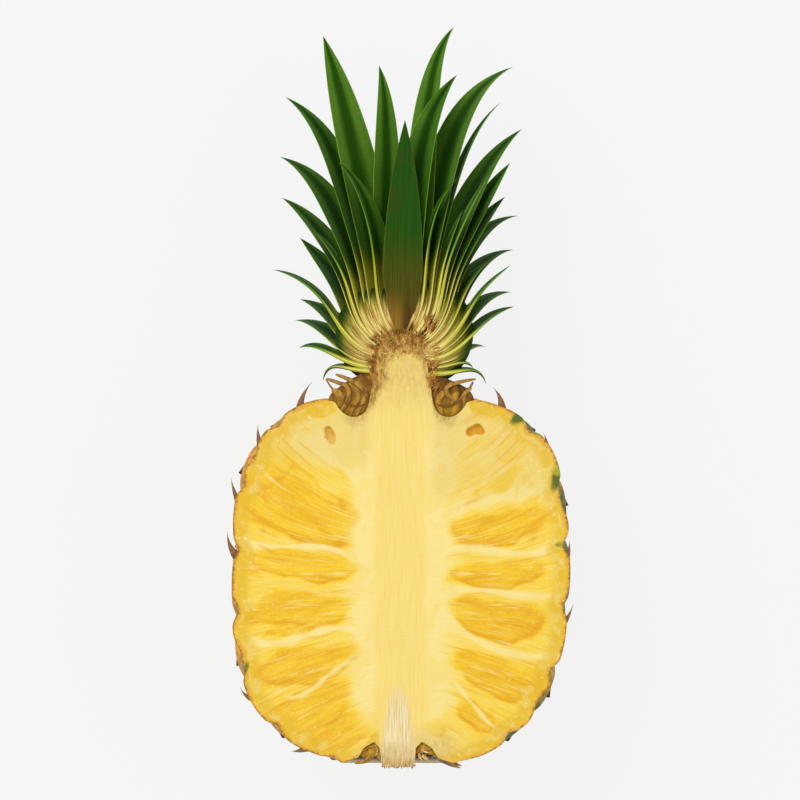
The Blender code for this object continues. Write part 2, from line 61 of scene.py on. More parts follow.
def add_node(tree, kind, inputs=(), **settings):
    """One shader node with its settings, its inputs either values or other nodes' sockets."""
    made = tree.nodes.new("ShaderNode" + kind)
    for key, value in settings.items():
        setattr(made, key, value)
    for key, value in dict(inputs).items():
        if isinstance(value, bpy.types.NodeSocket):
            tree.links.new(value, made.inputs[key])
        else:
            made.inputs[key].default_value = value
    return made


def new_finish(name, **shader_values):
    """A material and its node tree, with the shader's own values set."""
    finish = bpy.data.materials.new(name)
    finish.use_nodes = True
    shader = finish.node_tree.nodes["Principled BSDF"]
    for key, value in shader_values.items():
        shader.inputs[key.replace("_", " ")].default_value = value
    return finish, finish.node_tree


def add_lamp(place, size, power):
    """A square soft lamp that points at the frame's origin."""
    lamp = bpy.data.lights.new("soft_lamp", "AREA")
    lamp.size, lamp.energy = size, power
    item = bpy.data.objects.new("soft_lamp", lamp)
    bpy.context.scene.collection.objects.link(item)
    item.location = place
    item.rotation_euler = (-item.location).to_track_quat("-Z", "Y").to_euler()


for place, size, power in SOFT_LAMPS:
    add_lamp(place, size, power)

room = bpy.data.worlds.new("room")
room.use_nodes = True
room.node_tree.nodes["Background"].inputs["Color"].default_value = (1, 1, 1, 1)
room.node_tree.nodes["Background"].inputs["Strength"].default_value = ROOM_LIGHT
bpy.context.scene.world = room
bpy.context.scene.view_settings.view_transform = "Standard"

table_mesh = bpy.data.meshes.new("table")
corners = TABLE_SIZE * np.array([(-1, -1, 0), (1, -1, 0), (1, 1, 0), (-1, 1, 0)])
table_mesh.from_pydata(corners.tolist(), [], [(0, 1, 2, 3)])
table = bpy.data.objects.new("table", table_mesh)
bpy.context.scene.collection.objects.link(table)
pale_table, _ = new_finish(
    "pale_table", Base_Color=TABLE_COLOUR, Roughness=0.9, Specular_IOR_Level=0.0,
    Emission_Color=(1, 1, 1, 1), Emission_Strength=TABLE_GLOW)
table_mesh.materials.append(pale_table)

camera = bpy.data.cameras.new("camera")
camera.type, camera.ortho_scale = "ORTHO", VIEW_WIDTH
camera_object = bpy.data.objects.new("camera", camera)
bpy.context.scene.collection.objects.link(camera_object)
camera_object.location = VIEW_CENTRE
bpy.context.scene.camera = camera_object


# The rind: about a hundred fused berries, each a flat domed eye with a groove round it.
# It is a hard skin of gold, orange and olive green, and grey-brown where the eyes' bracts
# were. It carries on as the neck above the shoulder and as the stub of the stalk below.
FRUIT_RADIUS = 0.0645
CUT_HEIGHT = 0.0632
SHOULDER_HEIGHT = 0.0703
SHOULDER_POWER = 3.2
SHOULDER_RIM_RADIUS = 0.0296
BASE_DEPTH = 0.0717
BASE_POWER = 2.7
BASE_RIM_RADIUS = 0.0209
BASE_LEAN = 0.0012
# (radius, height, height on the axis that the cut face's rows start from)
NECK_LINE = (
    (0.0000, 0.0927, 0.0927), (0.0046, 0.0920, 0.0915), (0.0076, 0.0893, 0.0889),
    (0.0091, 0.0859, 0.0856), (0.0106, 0.0771, 0.0771), (0.0114, 0.0714, 0.0712),
    (0.0122, 0.0657, 0.0650), (0.0144, 0.0619, 0.0560), (0.0190, 0.0608, 0.0450),
    (0.0228, 0.0631, 0.0350), (0.0251, 0.0667, 0.0250),
)
STALK_LINE = (
    (0.0152, -0.0684, -0.0400), (0.0129, -0.0646, -0.0440), (0.0091, -0.0623, -0.0520),
    (0.0068, -0.0646, -0.0600), (0.0065, -0.0692, -0.0680), (0.0057, -0.0718, -0.0712),
    (0.0000, -0.0718, -0.0718),
)
OUTLINE_ROWS = 390
RIND_COLUMNS = 240
EYE_COUNT = 112
GOLDEN_ANGLE = 137.50776
GOLDEN_SHARE = 0.618
EYE_GROOVE_DEPTH = 0.0019
EYE_GROOVE_WIDTH = 0.0046
EYE_DOME = 0.0007
EYE_RADIUS = 0.0105
RELIEF_FADE = 0.0060
NOTCH_RADII = (0.0066, 0.0190)


def smooth_step(share):
    """3 s^2 - 2 s^3, with s held between 0 and 1."""
    share = np.clip(share, 0.0, 1.0)
    return share * share * (3.0 - 2.0 * share)


def line_lengths(points):
    """Length along the line up to each of its points."""
    steps = np.linalg.norm(np.diff(points[:, :2], axis=0), axis=1)
    return np.concatenate([[0.0], np.cumsum(steps)])


def rounded_line(points, rounds=3):
    """The line with its corners cut at a quarter of each span, several times over."""
    line = np.array(points, float)
    for _ in range(rounds):
        cut = np.stack([0.75 * line[:-1] + 0.25 * line[1:],
                        0.25 * line[:-1] + 0.75 * line[1:]], 1)
        line = np.concatenate([line[:1], cut.reshape(-1, line.shape[1]), line[-1:]])
    return line


def barrel_line():
    """(radius, height) from the shoulder to the base: two quarters of superellipses,
    (r / radius)^n + (h / height)^n = 1, one above the widest ring and one below it."""
    turn = np.linspace(0.0, math.pi / 2, 1500)
    upper = np.stack([FRUIT_RADIUS * np.sin(turn) ** (2 / SHOULDER_POWER),
                      SHOULDER_HEIGHT * np.cos(turn) ** (2 / SHOULDER_POWER)], -1)
    lower = np.stack([FRUIT_RADIUS * np.cos(turn) ** (2 / BASE_POWER),
                      -BASE_DEPTH * np.sin(turn) ** (2 / BASE_POWER)], -1)
    return np.concatenate([upper[upper[:, 0] > SHOULDER_RIM_RADIUS],
                           lower[lower[:, 0] > BASE_RIM_RADIUS][1:]])


def fruit_outline():
    """(radius, height, row's start on the axis), evenly spaced from the neck's top to the
    stalk's end."""
    barrel = barrel_line()
    along = line_lengths(barrel)
    start = NECK_LINE[-1][2] + (STALK_LINE[0][2] - NECK_LINE[-1][2]) * along / along[-1]
    points = np.concatenate([rounded_line(NECK_LINE, 2), np.column_stack([barrel, start]),
                             STALK_LINE])
    along = line_lengths(points)
    stops = np.linspace(0.0, along[-1], OUTLINE_ROWS)
    return np.stack([np.interp(stops, along, points[:, k]) for k in range(3)], -1)


def place_on_axis(radius, around, height):
    """Points at a radius from the axis, an angle round it in degrees, 0 at the cut face's
    left and 180 at its right, and a height along it."""
    turn = np.radians(around)
    return np.stack(np.broadcast_arrays(-radius * np.cos(turn), height + 0 * radius,
                                        CUT_HEIGHT - radius * np.sin(turn)), -1)


def eye_places():
    """Middles, outward and crownward directions of the eyes: eye n stands 137.5 degrees
    round from the last, and each ring of the barrel has eyes for its own area."""
    barrel = barrel_line()
    rings = np.diff(line_lengths(barrel)) * (barrel[1:, 0] + barrel[:-1, 0]) / 2
    area = np.concatenate([[0.0], np.cumsum(rings)])
    area /= area[-1]
    rest = np.interp(0.0, -barrel[:, 1], area)
    number = np.arange(EYE_COUNT) - int(rest * EYE_COUNT)
    share = rest + number / EYE_COUNT
    kept = (share > 0) & (share < 1)
    number, share = number[kept], share[kept]
    around = 90.0 + number * GOLDEN_ANGLE
    radius, height = (np.interp(share, area, barrel[:, k]) for k in (0, 1))
    upper_radius, upper_height = (np.interp(share - 0.002, area, barrel[:, k]) for k in (0, 1))
    middle = place_on_axis(radius, around, height)
    crownward = place_on_axis(upper_radius, around, upper_height) - middle
    crownward /= np.linalg.norm(crownward, axis=1, keepdims=True)
    across = place_on_axis(np.ones_like(around), around + 90.0, 0 * height)
    across[:, 2] -= CUT_HEIGHT
    return middle, np.cross(across, crownward), crownward


def lean_base(points):
    """How far right a point moves: the lower half stands a little to the left."""
    return -BASE_LEAN * smooth_step(-2 * points[..., 1] / BASE_DEPTH)


def make_piece(name, points, faces, finish, numbers=()):
    """A mesh object from arrays of points and faces, with attributes for its finish: one
    number for each point, or three. It rides on the one body that the fruit has."""
    mesh = bpy.data.meshes.new(name)
    points = np.asarray(points, np.float32).reshape(-1, 3)
    mesh.vertices.add(len(points))
    mesh.vertices.foreach_set("co", points.ravel())
    loops = np.concatenate([np.asarray(f, np.int32).ravel() for f in faces])
    sizes = np.concatenate([np.full(len(f), np.shape(f)[1], np.int32) for f in faces])
    mesh.loops.add(len(loops))
    mesh.loops.foreach_set("vertex_index", loops)
    mesh.polygons.add(len(sizes))
    starts = np.concatenate([[0], np.cumsum(sizes)[:-1]]).astype(np.int32)
    mesh.polygons.foreach_set("loop_start", starts)
    mesh.update(calc_edges=True)
    mesh.validate()
    for key, value in dict(numbers).items():
        value = np.asarray(value, np.float32).ravel()
        single = value.size == len(points)
        kind, field = ("FLOAT", "value") if single else ("FLOAT_VECTOR", "vector")
        mesh.attributes.new(key, kind, "POINT").data.foreach_set(field, value)
    mesh.shade_smooth()
    mesh.materials.append(finish)
    item = bpy.data.objects.new(name, mesh)
    bpy.context.scene.collection.objects.link(item)
    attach(item, "root")
    return item


def grid_faces(rows, columns):
    """Corner numbers of the faces of a grid of points, rows by columns."""
    first = (np.arange(rows - 1)[:, None] * columns + np.arange(columns - 1)[None]).ravel()
    return np.stack([first, first + columns, first + columns + 1, first + 1], -1)


def mixed(tree, share, first, second):
    """first where share is 0 and second where it is 1, both colours."""
    made = add_node(tree, "Mix", data_type="RGBA")
    for index, value in ((0, share), (6, first), (7, second)):
        if isinstance(value, bpy.types.NodeSocket):
            tree.links.new(value, made.inputs[index])
        else:
            made.inputs[index].default_value = value
    return made.outputs[2]


def sums(tree, kind, first, second=0.0, third=0.0):
    """A Math node of the kind named, unclamped, and its one output."""
    inputs = {0: first, 1: second, 2: third}
    return add_node(tree, "Math", inputs, operation=kind, use_clamp=False).outputs[0]


def times(tree, first, second):
    """The product of two values or sockets."""
    return sums(tree, "MULTIPLY", first, second)


def plus(tree, first, second):
    """The sum of two values or sockets."""
    return sums(tree, "ADD", first, second)


def swung(tree, value, noise, amount):
    """The value moved up and down with a noise, by half of amount each way."""
    return plus(tree, value, sums(tree, "MULTIPLY_ADD", noise, amount, -amount / 2))


def stepped(tree, value, low, high):
    """0 below low, 1 above high, and a smooth step in between."""
    inputs = {"Value": value, "From Min": low, "From Max": high}
    return add_node(tree, "MapRange", inputs, interpolation_type="SMOOTHSTEP").outputs[0]


def toned(tree, noise, low, high, dark, light):
    """Dark where the noise is below low, light where it is above high."""
    return mixed(tree, stepped(tree, noise, low, high), dark, light)


def painted(tree, base, share, strength, colour):
    """The base with a colour laid over it, as much as share times strength."""
    return mixed(tree, times(tree, share, strength), base, colour)


def grain(tree, vector, scale, detail=3.0, roughness=0.55, distortion=0.0):
    """A noise from 0 to 1 at the places that vector gives."""
    inputs = {"Vector": vector, "Scale": scale, "Detail": detail, "Roughness": roughness,
              "Distortion": distortion}
    return add_node(tree, "TexNoise", inputs).outputs["Fac"]


def attribute(tree, name, output="Fac"):
    """A number that make_piece gave the mesh."""
    return add_node(tree, "Attribute", attribute_name=name).outputs[output]


def object_place(tree, scale=(1.0, 1.0, 1.0)):
    """The place in the piece's own frame, stretched by scale."""
    coordinates = add_node(tree, "TexCoord").outputs["Object"]
    return add_node(tree, "Mapping", {"Vector": coordinates, "Scale": scale}).outputs[0]


def finished(finish, colour, height, distance, strength):
    """The material with its colour, and with a bump that follows height."""
    tree = finish.node_tree
    shader = tree.nodes["Principled BSDF"].inputs
    inputs = {"Height": height, "Distance": distance, "Strength": strength}
    tree.links.new(colour, shader["Base Color"])
    tree.links.new(add_node(tree, "Bump", inputs).outputs[0], shader["Normal"])
    return finish


def rind_finish():
    """Gold and orange eyes, olive to green in patches, brown in the grooves and round each
    eye's middle, and tan and fibrous on the neck and stub."""
    finish, tree = new_finish("rind", Roughness=0.50, Specular_IOR_Level=0.20,
                              Coat_Weight=0.08, Coat_Roughness=0.35)
    mottle = grain(tree, object_place(tree), 420.0, 4.0, 0.6)
    cloud = grain(tree, object_place(tree), 38.0, 2.0)
    skin = toned(tree, mottle, 0.3, 0.7, (0.46, 0.17, 0.018, 1), (0.76, 0.40, 0.035, 1))
    unripe = toned(tree, mottle, 0.35, 0.65, (0.045, 0.075, 0.010, 1), (0.20, 0.21, 0.025, 1))
    green = plus(tree, cloud, times(tree, attribute(tree, "eye_tone"), 0.35))
    skin = mixed(tree, stepped(tree, green, 0.56, 0.82), skin, unripe)
    middle = plus(tree, attribute(tree, "from_middle"), times(tree, mottle, 0.0016))
    ring = stepped(tree, middle, 0.0062, 0.0034)
    skin = painted(tree, skin, ring, 0.75, (0.22, 0.10, 0.035, 1))
    border = plus(tree, attribute(tree, "to_border"), times(tree, mottle, 0.0008))
    groove = stepped(tree, border, 0.0018, 0.0004)
    skin = painted(tree, skin, groove, 0.85, (0.11, 0.075, 0.010, 1))
    fibre = grain(tree, object_place(tree, (1.0, 0.25, 1.0)), 700.0, 4.0)
    tan = mixed(tree, fibre, (0.30, 0.17, 0.06, 1), (0.72, 0.52, 0.26, 1))
    tan = mixed(tree, attribute(tree, "notch"), tan, (0.085, 0.045, 0.012, 1))
    skin = mixed(tree, attribute(tree, "off_rind"), skin, tan)
    return finished(finish, skin, mottle, 0.0011, 0.9)


outline = fruit_outline()
tangent = np.gradient(outline[:, :2], axis=0)
tangent /= np.linalg.norm(tangent, axis=1, keepdims=True)
around = np.linspace(0.0, 180.0, RIND_COLUMNS + 1)
radius = outline[:, None, 0] + 0 * around
height = outline[:, None, 1] + 0 * around
rind_points = place_on_axis(radius, around[None], height)
eye_middles, eye_outward, eye_crownward = eye_places()
flat_points = rind_points.reshape(-1, 3).astype(np.float32)
distance = np.linalg.norm(flat_points[:, None] - eye_middles[None].astype(np.float32), axis=2)
nearest = distance.argmin(1)
distance = np.partition(distance, 1, axis=1)[:, :2]
to_border = ((distance[:, 1] - distance[:, 0]) / 2).reshape(radius.shape)
from_middle = distance[:, 0].reshape(radius.shape)
off_rind = 1 - smooth_step((radius - BASE_RIM_RADIUS) / RELIEF_FADE)
off_rind[(height > 0) & (radius < SHOULDER_RIM_RADIUS)] = 1.0
relief = (EYE_DOME * np.clip(1 - (from_middle / EYE_RADIUS) ** 2, 0, 1)
          - EYE_GROOVE_DEPTH * (1 - smooth_step(to_border / EYE_GROOVE_WIDTH)) - EYE_DOME)
relief = relief * (1 - off_rind)
out = place_on_axis(-tangent[:, None, 1] + 0 * around, around[None], tangent[:, None, 0])
out[..., 2] -= CUT_HEIGHT
rind_points = rind_points + out * relief[..., None]
rind_points[..., 0] += lean_base(rind_points)
rind_points[..., 2] = np.clip(rind_points[..., 2], 0.0, CUT_HEIGHT)
notch = smooth_step((radius - NOTCH_RADII[0]) / 0.0012) * smooth_step(
    (NOTCH_RADII[1] - radius) / 0.0030)
rind = make_piece(
    "rind", rind_points, [grid_faces(*radius.shape)], rind_finish(),
    {"to_border": to_border, "from_middle": from_middle, "off_rind": off_rind, "notch": notch,
     "eye_tone": np.modf(nearest * GOLDEN_SHARE)[0]})
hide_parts("half_fruit")


# The cut face: wet yellow flesh in long cells that run out from the core to the eyes, each
# between pale membranes, round a paler fibrous core that ends below in the stalk and above
# in the stem. Two blossom cups lie open near the shoulder.
CUT_COLUMNS = 110
# Here and below lengths are in millimetres in the cut face: half the core's width, what it
# gains up the neck, and its soft edge; where the cells start beside it; above which height
# the flesh is paler, at the left and the right; and where the neck and the stalk start
CORE_HALF, CORE_GAIN, CORE_FADE = 6.6, 5.0, 5.4
CELLS_FROM = 14.0
PALE_ABOVE = (36.0, 24.0)
NECK_FROM = 58.0
STALK_FROM = -36.0
# Pale membranes as (right, up) in millimetres, from the left one at the top
MEMBRANES = (
    (((-61.2, 13.3), (-53.2, 13.7), (-47.9, 11.8), (-41.8, 10.6), (-31.2, 12.2),
      (-23.6, 10.6), (-17.5, 7.2)), 1.1, 1.0),
    (((-57.0, -2.3), (-44.5, -2.3), (-32.7, -5.3), (-18.2, -5.3)), 0.9, 0.35),
    (((-55.9, -23.9), (-47.9, -25.8), (-41.8, -23.9), (-35.0, -20.5), (-28.9, -19.8),
      (-20.5, -20.1), (-10.6, -23.9)), 1.5, 1.0),
    (((-41.0, -45.6), (-37.2, -44.1), (-31.9, -41.0), (-27.7, -36.9), (-22.8, -33.4),
      (-15.6, -30.8)), 1.2, 0.8),
    (((-49.0, 59.0), (-37.2, 53.6), (-29.0, 48.0), (-20.9, 42.6), (-14.4, 37.2)), 3.6, 0.9),
    (((13.7, 21.3), (22.4, 26.2), (30.8, 29.3), (41.4, 31.2), (55.1, 33.8)), 2.6, 0.9),
    (((14.1, 10.3), (34.6, 10.3), (45.6, 8.7), (57.8, 12.2), (61.2, 12.9)), 1.5, 1.0),
    (((11.4, -9.1), (17.5, -5.3), (26.6, -3.8), (34.6, -5.7), (41.4, -7.2), (52.8, -5.3),
      (60.0, -6.5)), 1.4, 1.0),
    (((14.1, -12.9), (21.3, -20.1), (28.5, -23.2), (40.7, -27.0), (50.5, -31.5),
      (57.8, -28.9)), 1.9, 1.0),
    (((16.7, -36.9), (22.8, -42.2), (26.6, -47.5), (30.8, -52.8), (35.3, -56.2),
      (43.3, -58.1)), 1.2, 0.9),
)
# Saturated cells as (right, up), half length, half width, slope in degrees, strength
CELLS = (
    (-39.0, 25.0, 27.0, 12.0, -20.0, 0.85), (-33.0, 35.0, 16.0, 2.2, -38.0, 0.75),
    (-38.0, 5.0, 23.0, 6.0, -4.0, 0.75), (-38.0, -12.0, 23.0, 7.0, 4.0, 0.80),
    (-38.0, -20.5, 14.0, 2.0, 8.0, 0.80), (-34.6, -33.0, 24.0, 7.5, 14.0, 0.85),
    (-35.0, -50.0, 23.0, 8.5, 32.0, 0.80), (-21.0, -58.0, 14.0, 7.0, 12.0, 0.85),
    (37.0, 36.5, 12.0, 3.6, 29.0, 0.80), (22.0, 37.0, 12.0, 5.0, 35.0, 0.35),
    (37.0, 18.8, 20.0, 7.0, 12.0, 0.95), (37.0, 1.6, 20.0, 5.6, 3.0, 0.85),
    (36.0, -15.6, 21.0, 8.6, -9.0, 0.95), (38.0, -37.5, 19.0, 8.0, -20.0, 0.85),
    (28.0, -52.5, 9.0, 4.6, -38.0, 0.95), (40.0, -54.0, 10.0, 4.0, -30.0, 0.50),
    (13.5, -57.0, 5.0, 3.5, -30.0, 0.75), (-33.0, 65.8, 8.0, 3.6, -6.0, 0.85),
    (-33.0, 52.0, 7.5, 3.2, -42.0, 0.70), (-47.0, 43.0, 11.0, 5.5, 62.0, 0.60),
    (-25.5, 44.0, 11.0, 2.6, -44.0, 0.45), (33.5, 65.5, 9.0, 4.2, -8.0, 0.80),
    (42.0, 50.0, 6.0, 5.0, -50.0, 0.45), (29.0, 50.0, 9.0, 2.4, 40.0, 0.35),
    (49.0, 30.5, 3.0, 8.0, 0.0, 0.40),
)
# Small dark marks as (right, up), radii, strength
MARKS = (
    (-52.4, 17.9, 1.2, 0.6, 0.7), (-51.3, 11.0, 2.6, 0.6, 0.6), (-22.4, 28.9, 3.2, 1.1, 0.5),
    (-17.9, -30.4, 2.6, 0.9, 0.4), (-51.7, -7.6, 2.4, 0.9, 0.4), (50.2, 14.8, 1.8, 0.6, 0.8),
    (48.6, -13.3, 1.1, 0.8, 0.6), (50.9, -19.4, 1.0, 0.9, 0.6), (44.8, -42.6, 1.2, 0.8, 0.5),
    (27.4, 29.3, 6.0, 0.7, 0.45), (26.0, 60.4, 5.0, 1.2, 0.35), (-43.0, 39.5, 7.0, 0.6, 0.6),
)
# Patches of unripe green rind as (right, up), radii
GREEN_PATCHES = (
    (45.4, 60.8, 4.8, 2.4), (51.0, 56.0, 3.2, 3.8), (59.6, 36.9, 2.1, 5.0),
    (56.8, -37.1, 2.2, 2.8), (-48.4, 57.6, 1.5, 1.2), (-60.6, -34.2, 1.3, 3.4),
    (60.4, 12.0, 1.4, 0.8),
)
# Heights up the neck, and how far its pale flesh reaches there to the left and right
NECK_FLESH = (
    (57.0, 62.3, 65.0, 67.8, 70.7, 73.3, 76.0, 81.7, 84.4, 86.0),
    (17.0, 14.4, 11.8, 9.9, 8.4, 7.2, 5.6, 5.8, 3.0, -2.0),
    (21.0, 17.5, 14.6, 12.6, 11.4, 10.4, 9.6, 8.8, 6.0, -2.0),
)
# Blossom cups as (right, up), radii, how brown
CUP_PLACES = ((-27.0, 54.2, 2.0, 3.3, 0.25), (28.2, 56.4, 3.6, 1.9, 0.95))
CUP_DEPTH = 0.0018
CELL_RELIEF = 0.00012


def hump(value):
    """A bell curve, 1 at 0 and close to 0 beyond 2."""
    return np.exp(-value * value)


def membrane_share(right, up):
    """The strongest of the membranes at each point: a hump over the height above a cubic
    curve through the membrane's points, which fades out past its ends."""
    share = np.zeros_like(right)
    for line, width, strength in MEMBRANES:
        line = np.array(line)
        middle = line[:, 0].mean()
        curve = np.polyfit(line[:, 0] - middle, line[:, 1], 3)
        level = np.polyval(curve, np.clip(right, line[0, 0], line[-1, 0]) - middle)
        swell = width * (1 + 0.35 * np.sin(0.31 * right + level))
        past = np.maximum(np.maximum(line[0, 0] - right, right - line[-1, 0]), 0)
        share = np.maximum(share, strength * hump((up - level) / swell) * hump(past / 3.5))
    return share


def warped(right, up):
    """The place moved by slow waves, a couple of millimetres, so that no edge is even."""
    right_wave = 1.3 * np.sin(0.23 * up + 0.11 * right) + 0.6 * np.sin(0.61 * up - 0.2 * right)
    up_wave = 1.2 * np.sin(0.19 * right + 0.8) + 0.5 * np.sin(0.53 * right + 0.3 * up)
    return right + right_wave, up + up_wave


def oval(right, up, centre_right, centre_up, length, width, slope=0.0):
    """Squared distance from an oval's middle, in its own radii."""
    turn = math.radians(slope)
    across, rise = right - centre_right, up - centre_up
    along = across * math.cos(turn) + rise * math.sin(turn)
    aside = rise * math.cos(turn) - across * math.sin(turn)
    return (along / length) ** 2 + (aside / width) ** 2


def husk_and_shade_share(right, up, fringe):
    """How brown the tissue is: torn husk outside the neck's pale flesh and a little inside
    it, at the stalk's end and in the fringe beside the stalk, and a soft band of painted
    shadow under the moat in the same brown."""
    side = np.abs(right)
    flesh_left, flesh_right = (np.interp(up, NECK_FLESH[0], reach) for reach in NECK_FLESH[1:])
    flesh_side = np.where(right < 0, flesh_left, flesh_right)
    ragged = 0.25 * np.sin(0.7 * up) + 0.15 * np.sin(1.9 * up + 1.0)
    neck = smooth_step((side - flesh_side + 3.4 + ragged) / 5.6)
    neck = np.maximum(neck, 0.26 * smooth_step((up - NECK_FROM) / 18))
    neck *= smooth_step((up - NECK_FROM) / 5) * (side < 14)
    moat = rounded_line(NECK_LINE, 2) * 1000
    below_moat = np.maximum(np.interp(side, moat[:, 0], moat[:, 1]) - up, 0)
    # Painted shadow: a soft brown band under the moat's edge, as dark as the husk.
    moat_shadow = 0.62 * hump(below_moat / 3.6) * smooth_step((side - 9.0) / 3)
    moat_shadow *= smooth_step((23.5 - side) / 5)
    stalk_end = (0.22 + 0.50 * smooth_step((-66.5 - up) / 5)) * smooth_step((-60 - up) / 6)
    return np.maximum.reduce([neck, moat_shadow, stalk_end * (side < 9), 0.30 * fringe])


def ramped(tree, value, stops):
    """Colours by a value, from stops of place and colour, the first at 0 and the last at 1."""
    ramp = add_node(tree, "ValToRGB", {"Fac": value})
    made = ramp.color_ramp.elements
    made[0].color, made[1].color = stops[0][1], stops[-1][1]
    for position, colour in stops[1:-1]:
        made.new(position).color = colour
    return ramp.outputs[0]


def flesh_finish():
    """Wet flesh: a ramp from pale to deep gold by how saturated the cell is and by streaks
    along its fibres, cream in the membranes and beside the core, and brown at marks. The
    rim is deeper, with bits of bark at its edge, and the neck ends in torn brown husk. Small
    pale specks towards the rim are painted glints, and the husk's brown also paints a soft
    shadow under the moat."""
    finish, tree = new_finish("flesh", Roughness=0.34, Specular_IOR_Level=0.22)
    fibre = attribute(tree, "fibre", "Vector")
    fine = grain(tree, fibre, 1.0, 3.0, 0.6, 0.4)
    broad, thread, vein = (
        grain(tree, add_node(tree, "Mapping", {"Vector": fibre, "Scale": scale, "Location": (
            0.0, 0.0, away)}).outputs[0], 1.0, detail, 0.5, bent)
        for scale, away, detail, bent in (((0.5, 0.22, 1.0), 0.0, 2.0, 0.8),
                                          ((0.55, 0.85, 1.0), 7.0, 3.0, 1.1),
                                          ((0.30, 0.50, 1.0), 3.0, 1.0, 0.5)))
    upright = grain(tree, object_place(tree, (1300.0, 70.0, 1.0)), 1.0, 3.0, 0.6, 0.3)
    cloud = grain(tree, object_place(tree), 160.0, 3.0)
    speckled = grain(tree, object_place(tree), 1100.0, 3.0, 0.6)
    core, out, pale, to_edge, husk_and_shade_share = (
        attribute(tree, name) for name in ("core", "out", "pale", "to_edge", "husk_and_shade"))
    tone = attribute(tree, "gold")
    for noise, amount in ((fine, 0.55), (speckled, 0.50), (broad, 0.76)):
        tone = swung(tree, tone, noise, amount)
    flesh = ramped(tree, tone, (
        (0.0, (0.87, 0.68, 0.19, 1)), (0.3, (0.86, 0.62, 0.085, 1)),
        (0.62, (0.85, 0.55, 0.028, 1)), (1.0, (0.74, 0.375, 0.008, 1))))
    orange = times(tree, stepped(tree, vein, 0.60, 0.70), out)
    flesh = painted(tree, flesh, orange, 0.55, (0.76, 0.37, 0.012, 1))
    creamy = stepped(tree, swung(tree, pale, fine, 0.34), 0.05, 0.95)
    flesh = mixed(tree, creamy, flesh, (0.87, 0.70, 0.25, 1))
    threads = times(tree, stepped(tree, thread, 0.54, 0.70), out)
    flesh = painted(tree, flesh, threads, 0.62, (0.87, 0.70, 0.24, 1))
    drift = grain(tree, object_place(tree, (1.0, 0.6, 1.0)), 150.0, 4.0, 0.6, 0.6)
    warm = times(tree, stepped(tree, drift, 0.46, 0.62), pale)
    flesh = painted(tree, flesh, warm, 0.45, (0.84, 0.61, 0.13, 1))
    white = times(tree, stepped(tree, fine, 0.54, 0.70), stepped(tree, drift, 0.58, 0.42))
    flesh = painted(tree, flesh, times(tree, white, pale), 0.55, (0.90, 0.80, 0.40, 1))
    heart = toned(tree, upright, 0.25, 0.75, (0.84, 0.605, 0.145, 1), (0.86, 0.675, 0.22, 1))
    flesh = mixed(tree, core, flesh, heart)
    strand = grain(tree, object_place(tree, (2600.0, 110.0, 1.0)), 1.0, 3.0, 0.6, 0.4)
    stalk = toned(tree, strand, 0.32, 0.70, (0.70, 0.50, 0.21, 1), (0.87, 0.76, 0.44, 1))
    flesh = mixed(tree, attribute(tree, "stalk"), flesh, stalk)
    flesh = mixed(tree, attribute(tree, "tan"), flesh, (0.45, 0.22, 0.01, 1))
    rim = times(tree, stepped(tree, to_edge, 8.5, 4.0), stepped(tree, to_edge, 0.4, 2.0))
    flesh = painted(tree, flesh, rim, 0.80, (0.72, 0.45, 0.024, 1))
    blotch = times(tree, stepped(tree, cloud, 0.50, 0.62), rim)
    flesh = painted(tree, flesh, blotch, 0.42, (0.84, 0.66, 0.20, 1))
    # Painted glints: small pale specks towards the rim stand in for light caught by the wet
    # flesh.
    painted_glints = stepped(tree, grain(tree, object_place(tree), 620.0, 3.0, 0.7), 0.62, 0.68)
    painted_glints = times(tree, painted_glints, times(tree, stepped(tree, to_edge, 22.0, 6.0), out))
    flesh = painted(tree, flesh, painted_glints, 0.6, (0.90, 0.80, 0.40, 1))
    border = stepped(tree, swung(tree, to_edge, cloud, -5.0), 2.2, 0.8)
    flesh = painted(tree, flesh, border, 0.75, (0.70, 0.34, 0.020, 1))
    bark = toned(tree, cloud, 0.44, 0.58, (0.40, 0.17, 0.018, 1), (0.20, 0.13, 0.014, 1))
    skin = stepped(tree, swung(tree, to_edge, speckled, -3.6), 1.0, 0.1)
    flesh = painted(tree, flesh, skin, 0.9, bark)
    lime = toned(tree, cloud, 0.42, 0.60, (0.075, 0.11, 0.012, 1), (0.36, 0.36, 0.02, 1))
    flesh = mixed(tree, attribute(tree, "green"), flesh, lime)
    flesh = mixed(tree, attribute(tree, "mark"), flesh, (0.66, 0.31, 0.014, 1))
    torn = grain(tree, object_place(tree, (1.0, 0.35, 1.0)), 1100.0, 4.0, 0.6, 0.5)
    husk_and_shade = toned(tree, torn, 0.3, 0.7, (0.24, 0.105, 0.012, 1), (0.58, 0.36, 0.075, 1))
    frayed = times(tree, sums(tree, "MULTIPLY_ADD", torn, -1.4, 0.7), husk_and_shade_share)
    frayed = sums(tree, "MINIMUM", plus(tree, husk_and_shade_share, frayed), 1.0)
    flesh = mixed(tree, frayed, flesh, husk_and_shade)
    height = plus(tree, fine, times(tree, times(tree, upright, core), 0.5))
    height = plus(tree, height, times(tree, thread, out))
    return finished(finish, flesh, height, 0.00025, 0.6)


across = np.linspace(-1.0, 1.0, 2 * CUT_COLUMNS + 1)
left_edge, right_edge = rind_points[:, :1], rind_points[:, -1:]
edge = np.where(across[:, None] <= 0, left_edge, right_edge)
axis_start = np.stack([lean_base(left_edge), outline[:, None, 2],
                       np.full((OUTLINE_ROWS, 1), CUT_HEIGHT)], -1)
cut_points = axis_start + (edge - axis_start) * np.abs(across)[:, None]
to_edge = np.linalg.norm(edge - axis_start, axis=2) * (1 - np.abs(across)) * 1000
right, up = cut_points[..., 0] * 1000, cut_points[..., 1] * 1000
side = np.abs(right)
warped_right, warped_up = warped(right, up)
warped_side = np.abs(warped_right)

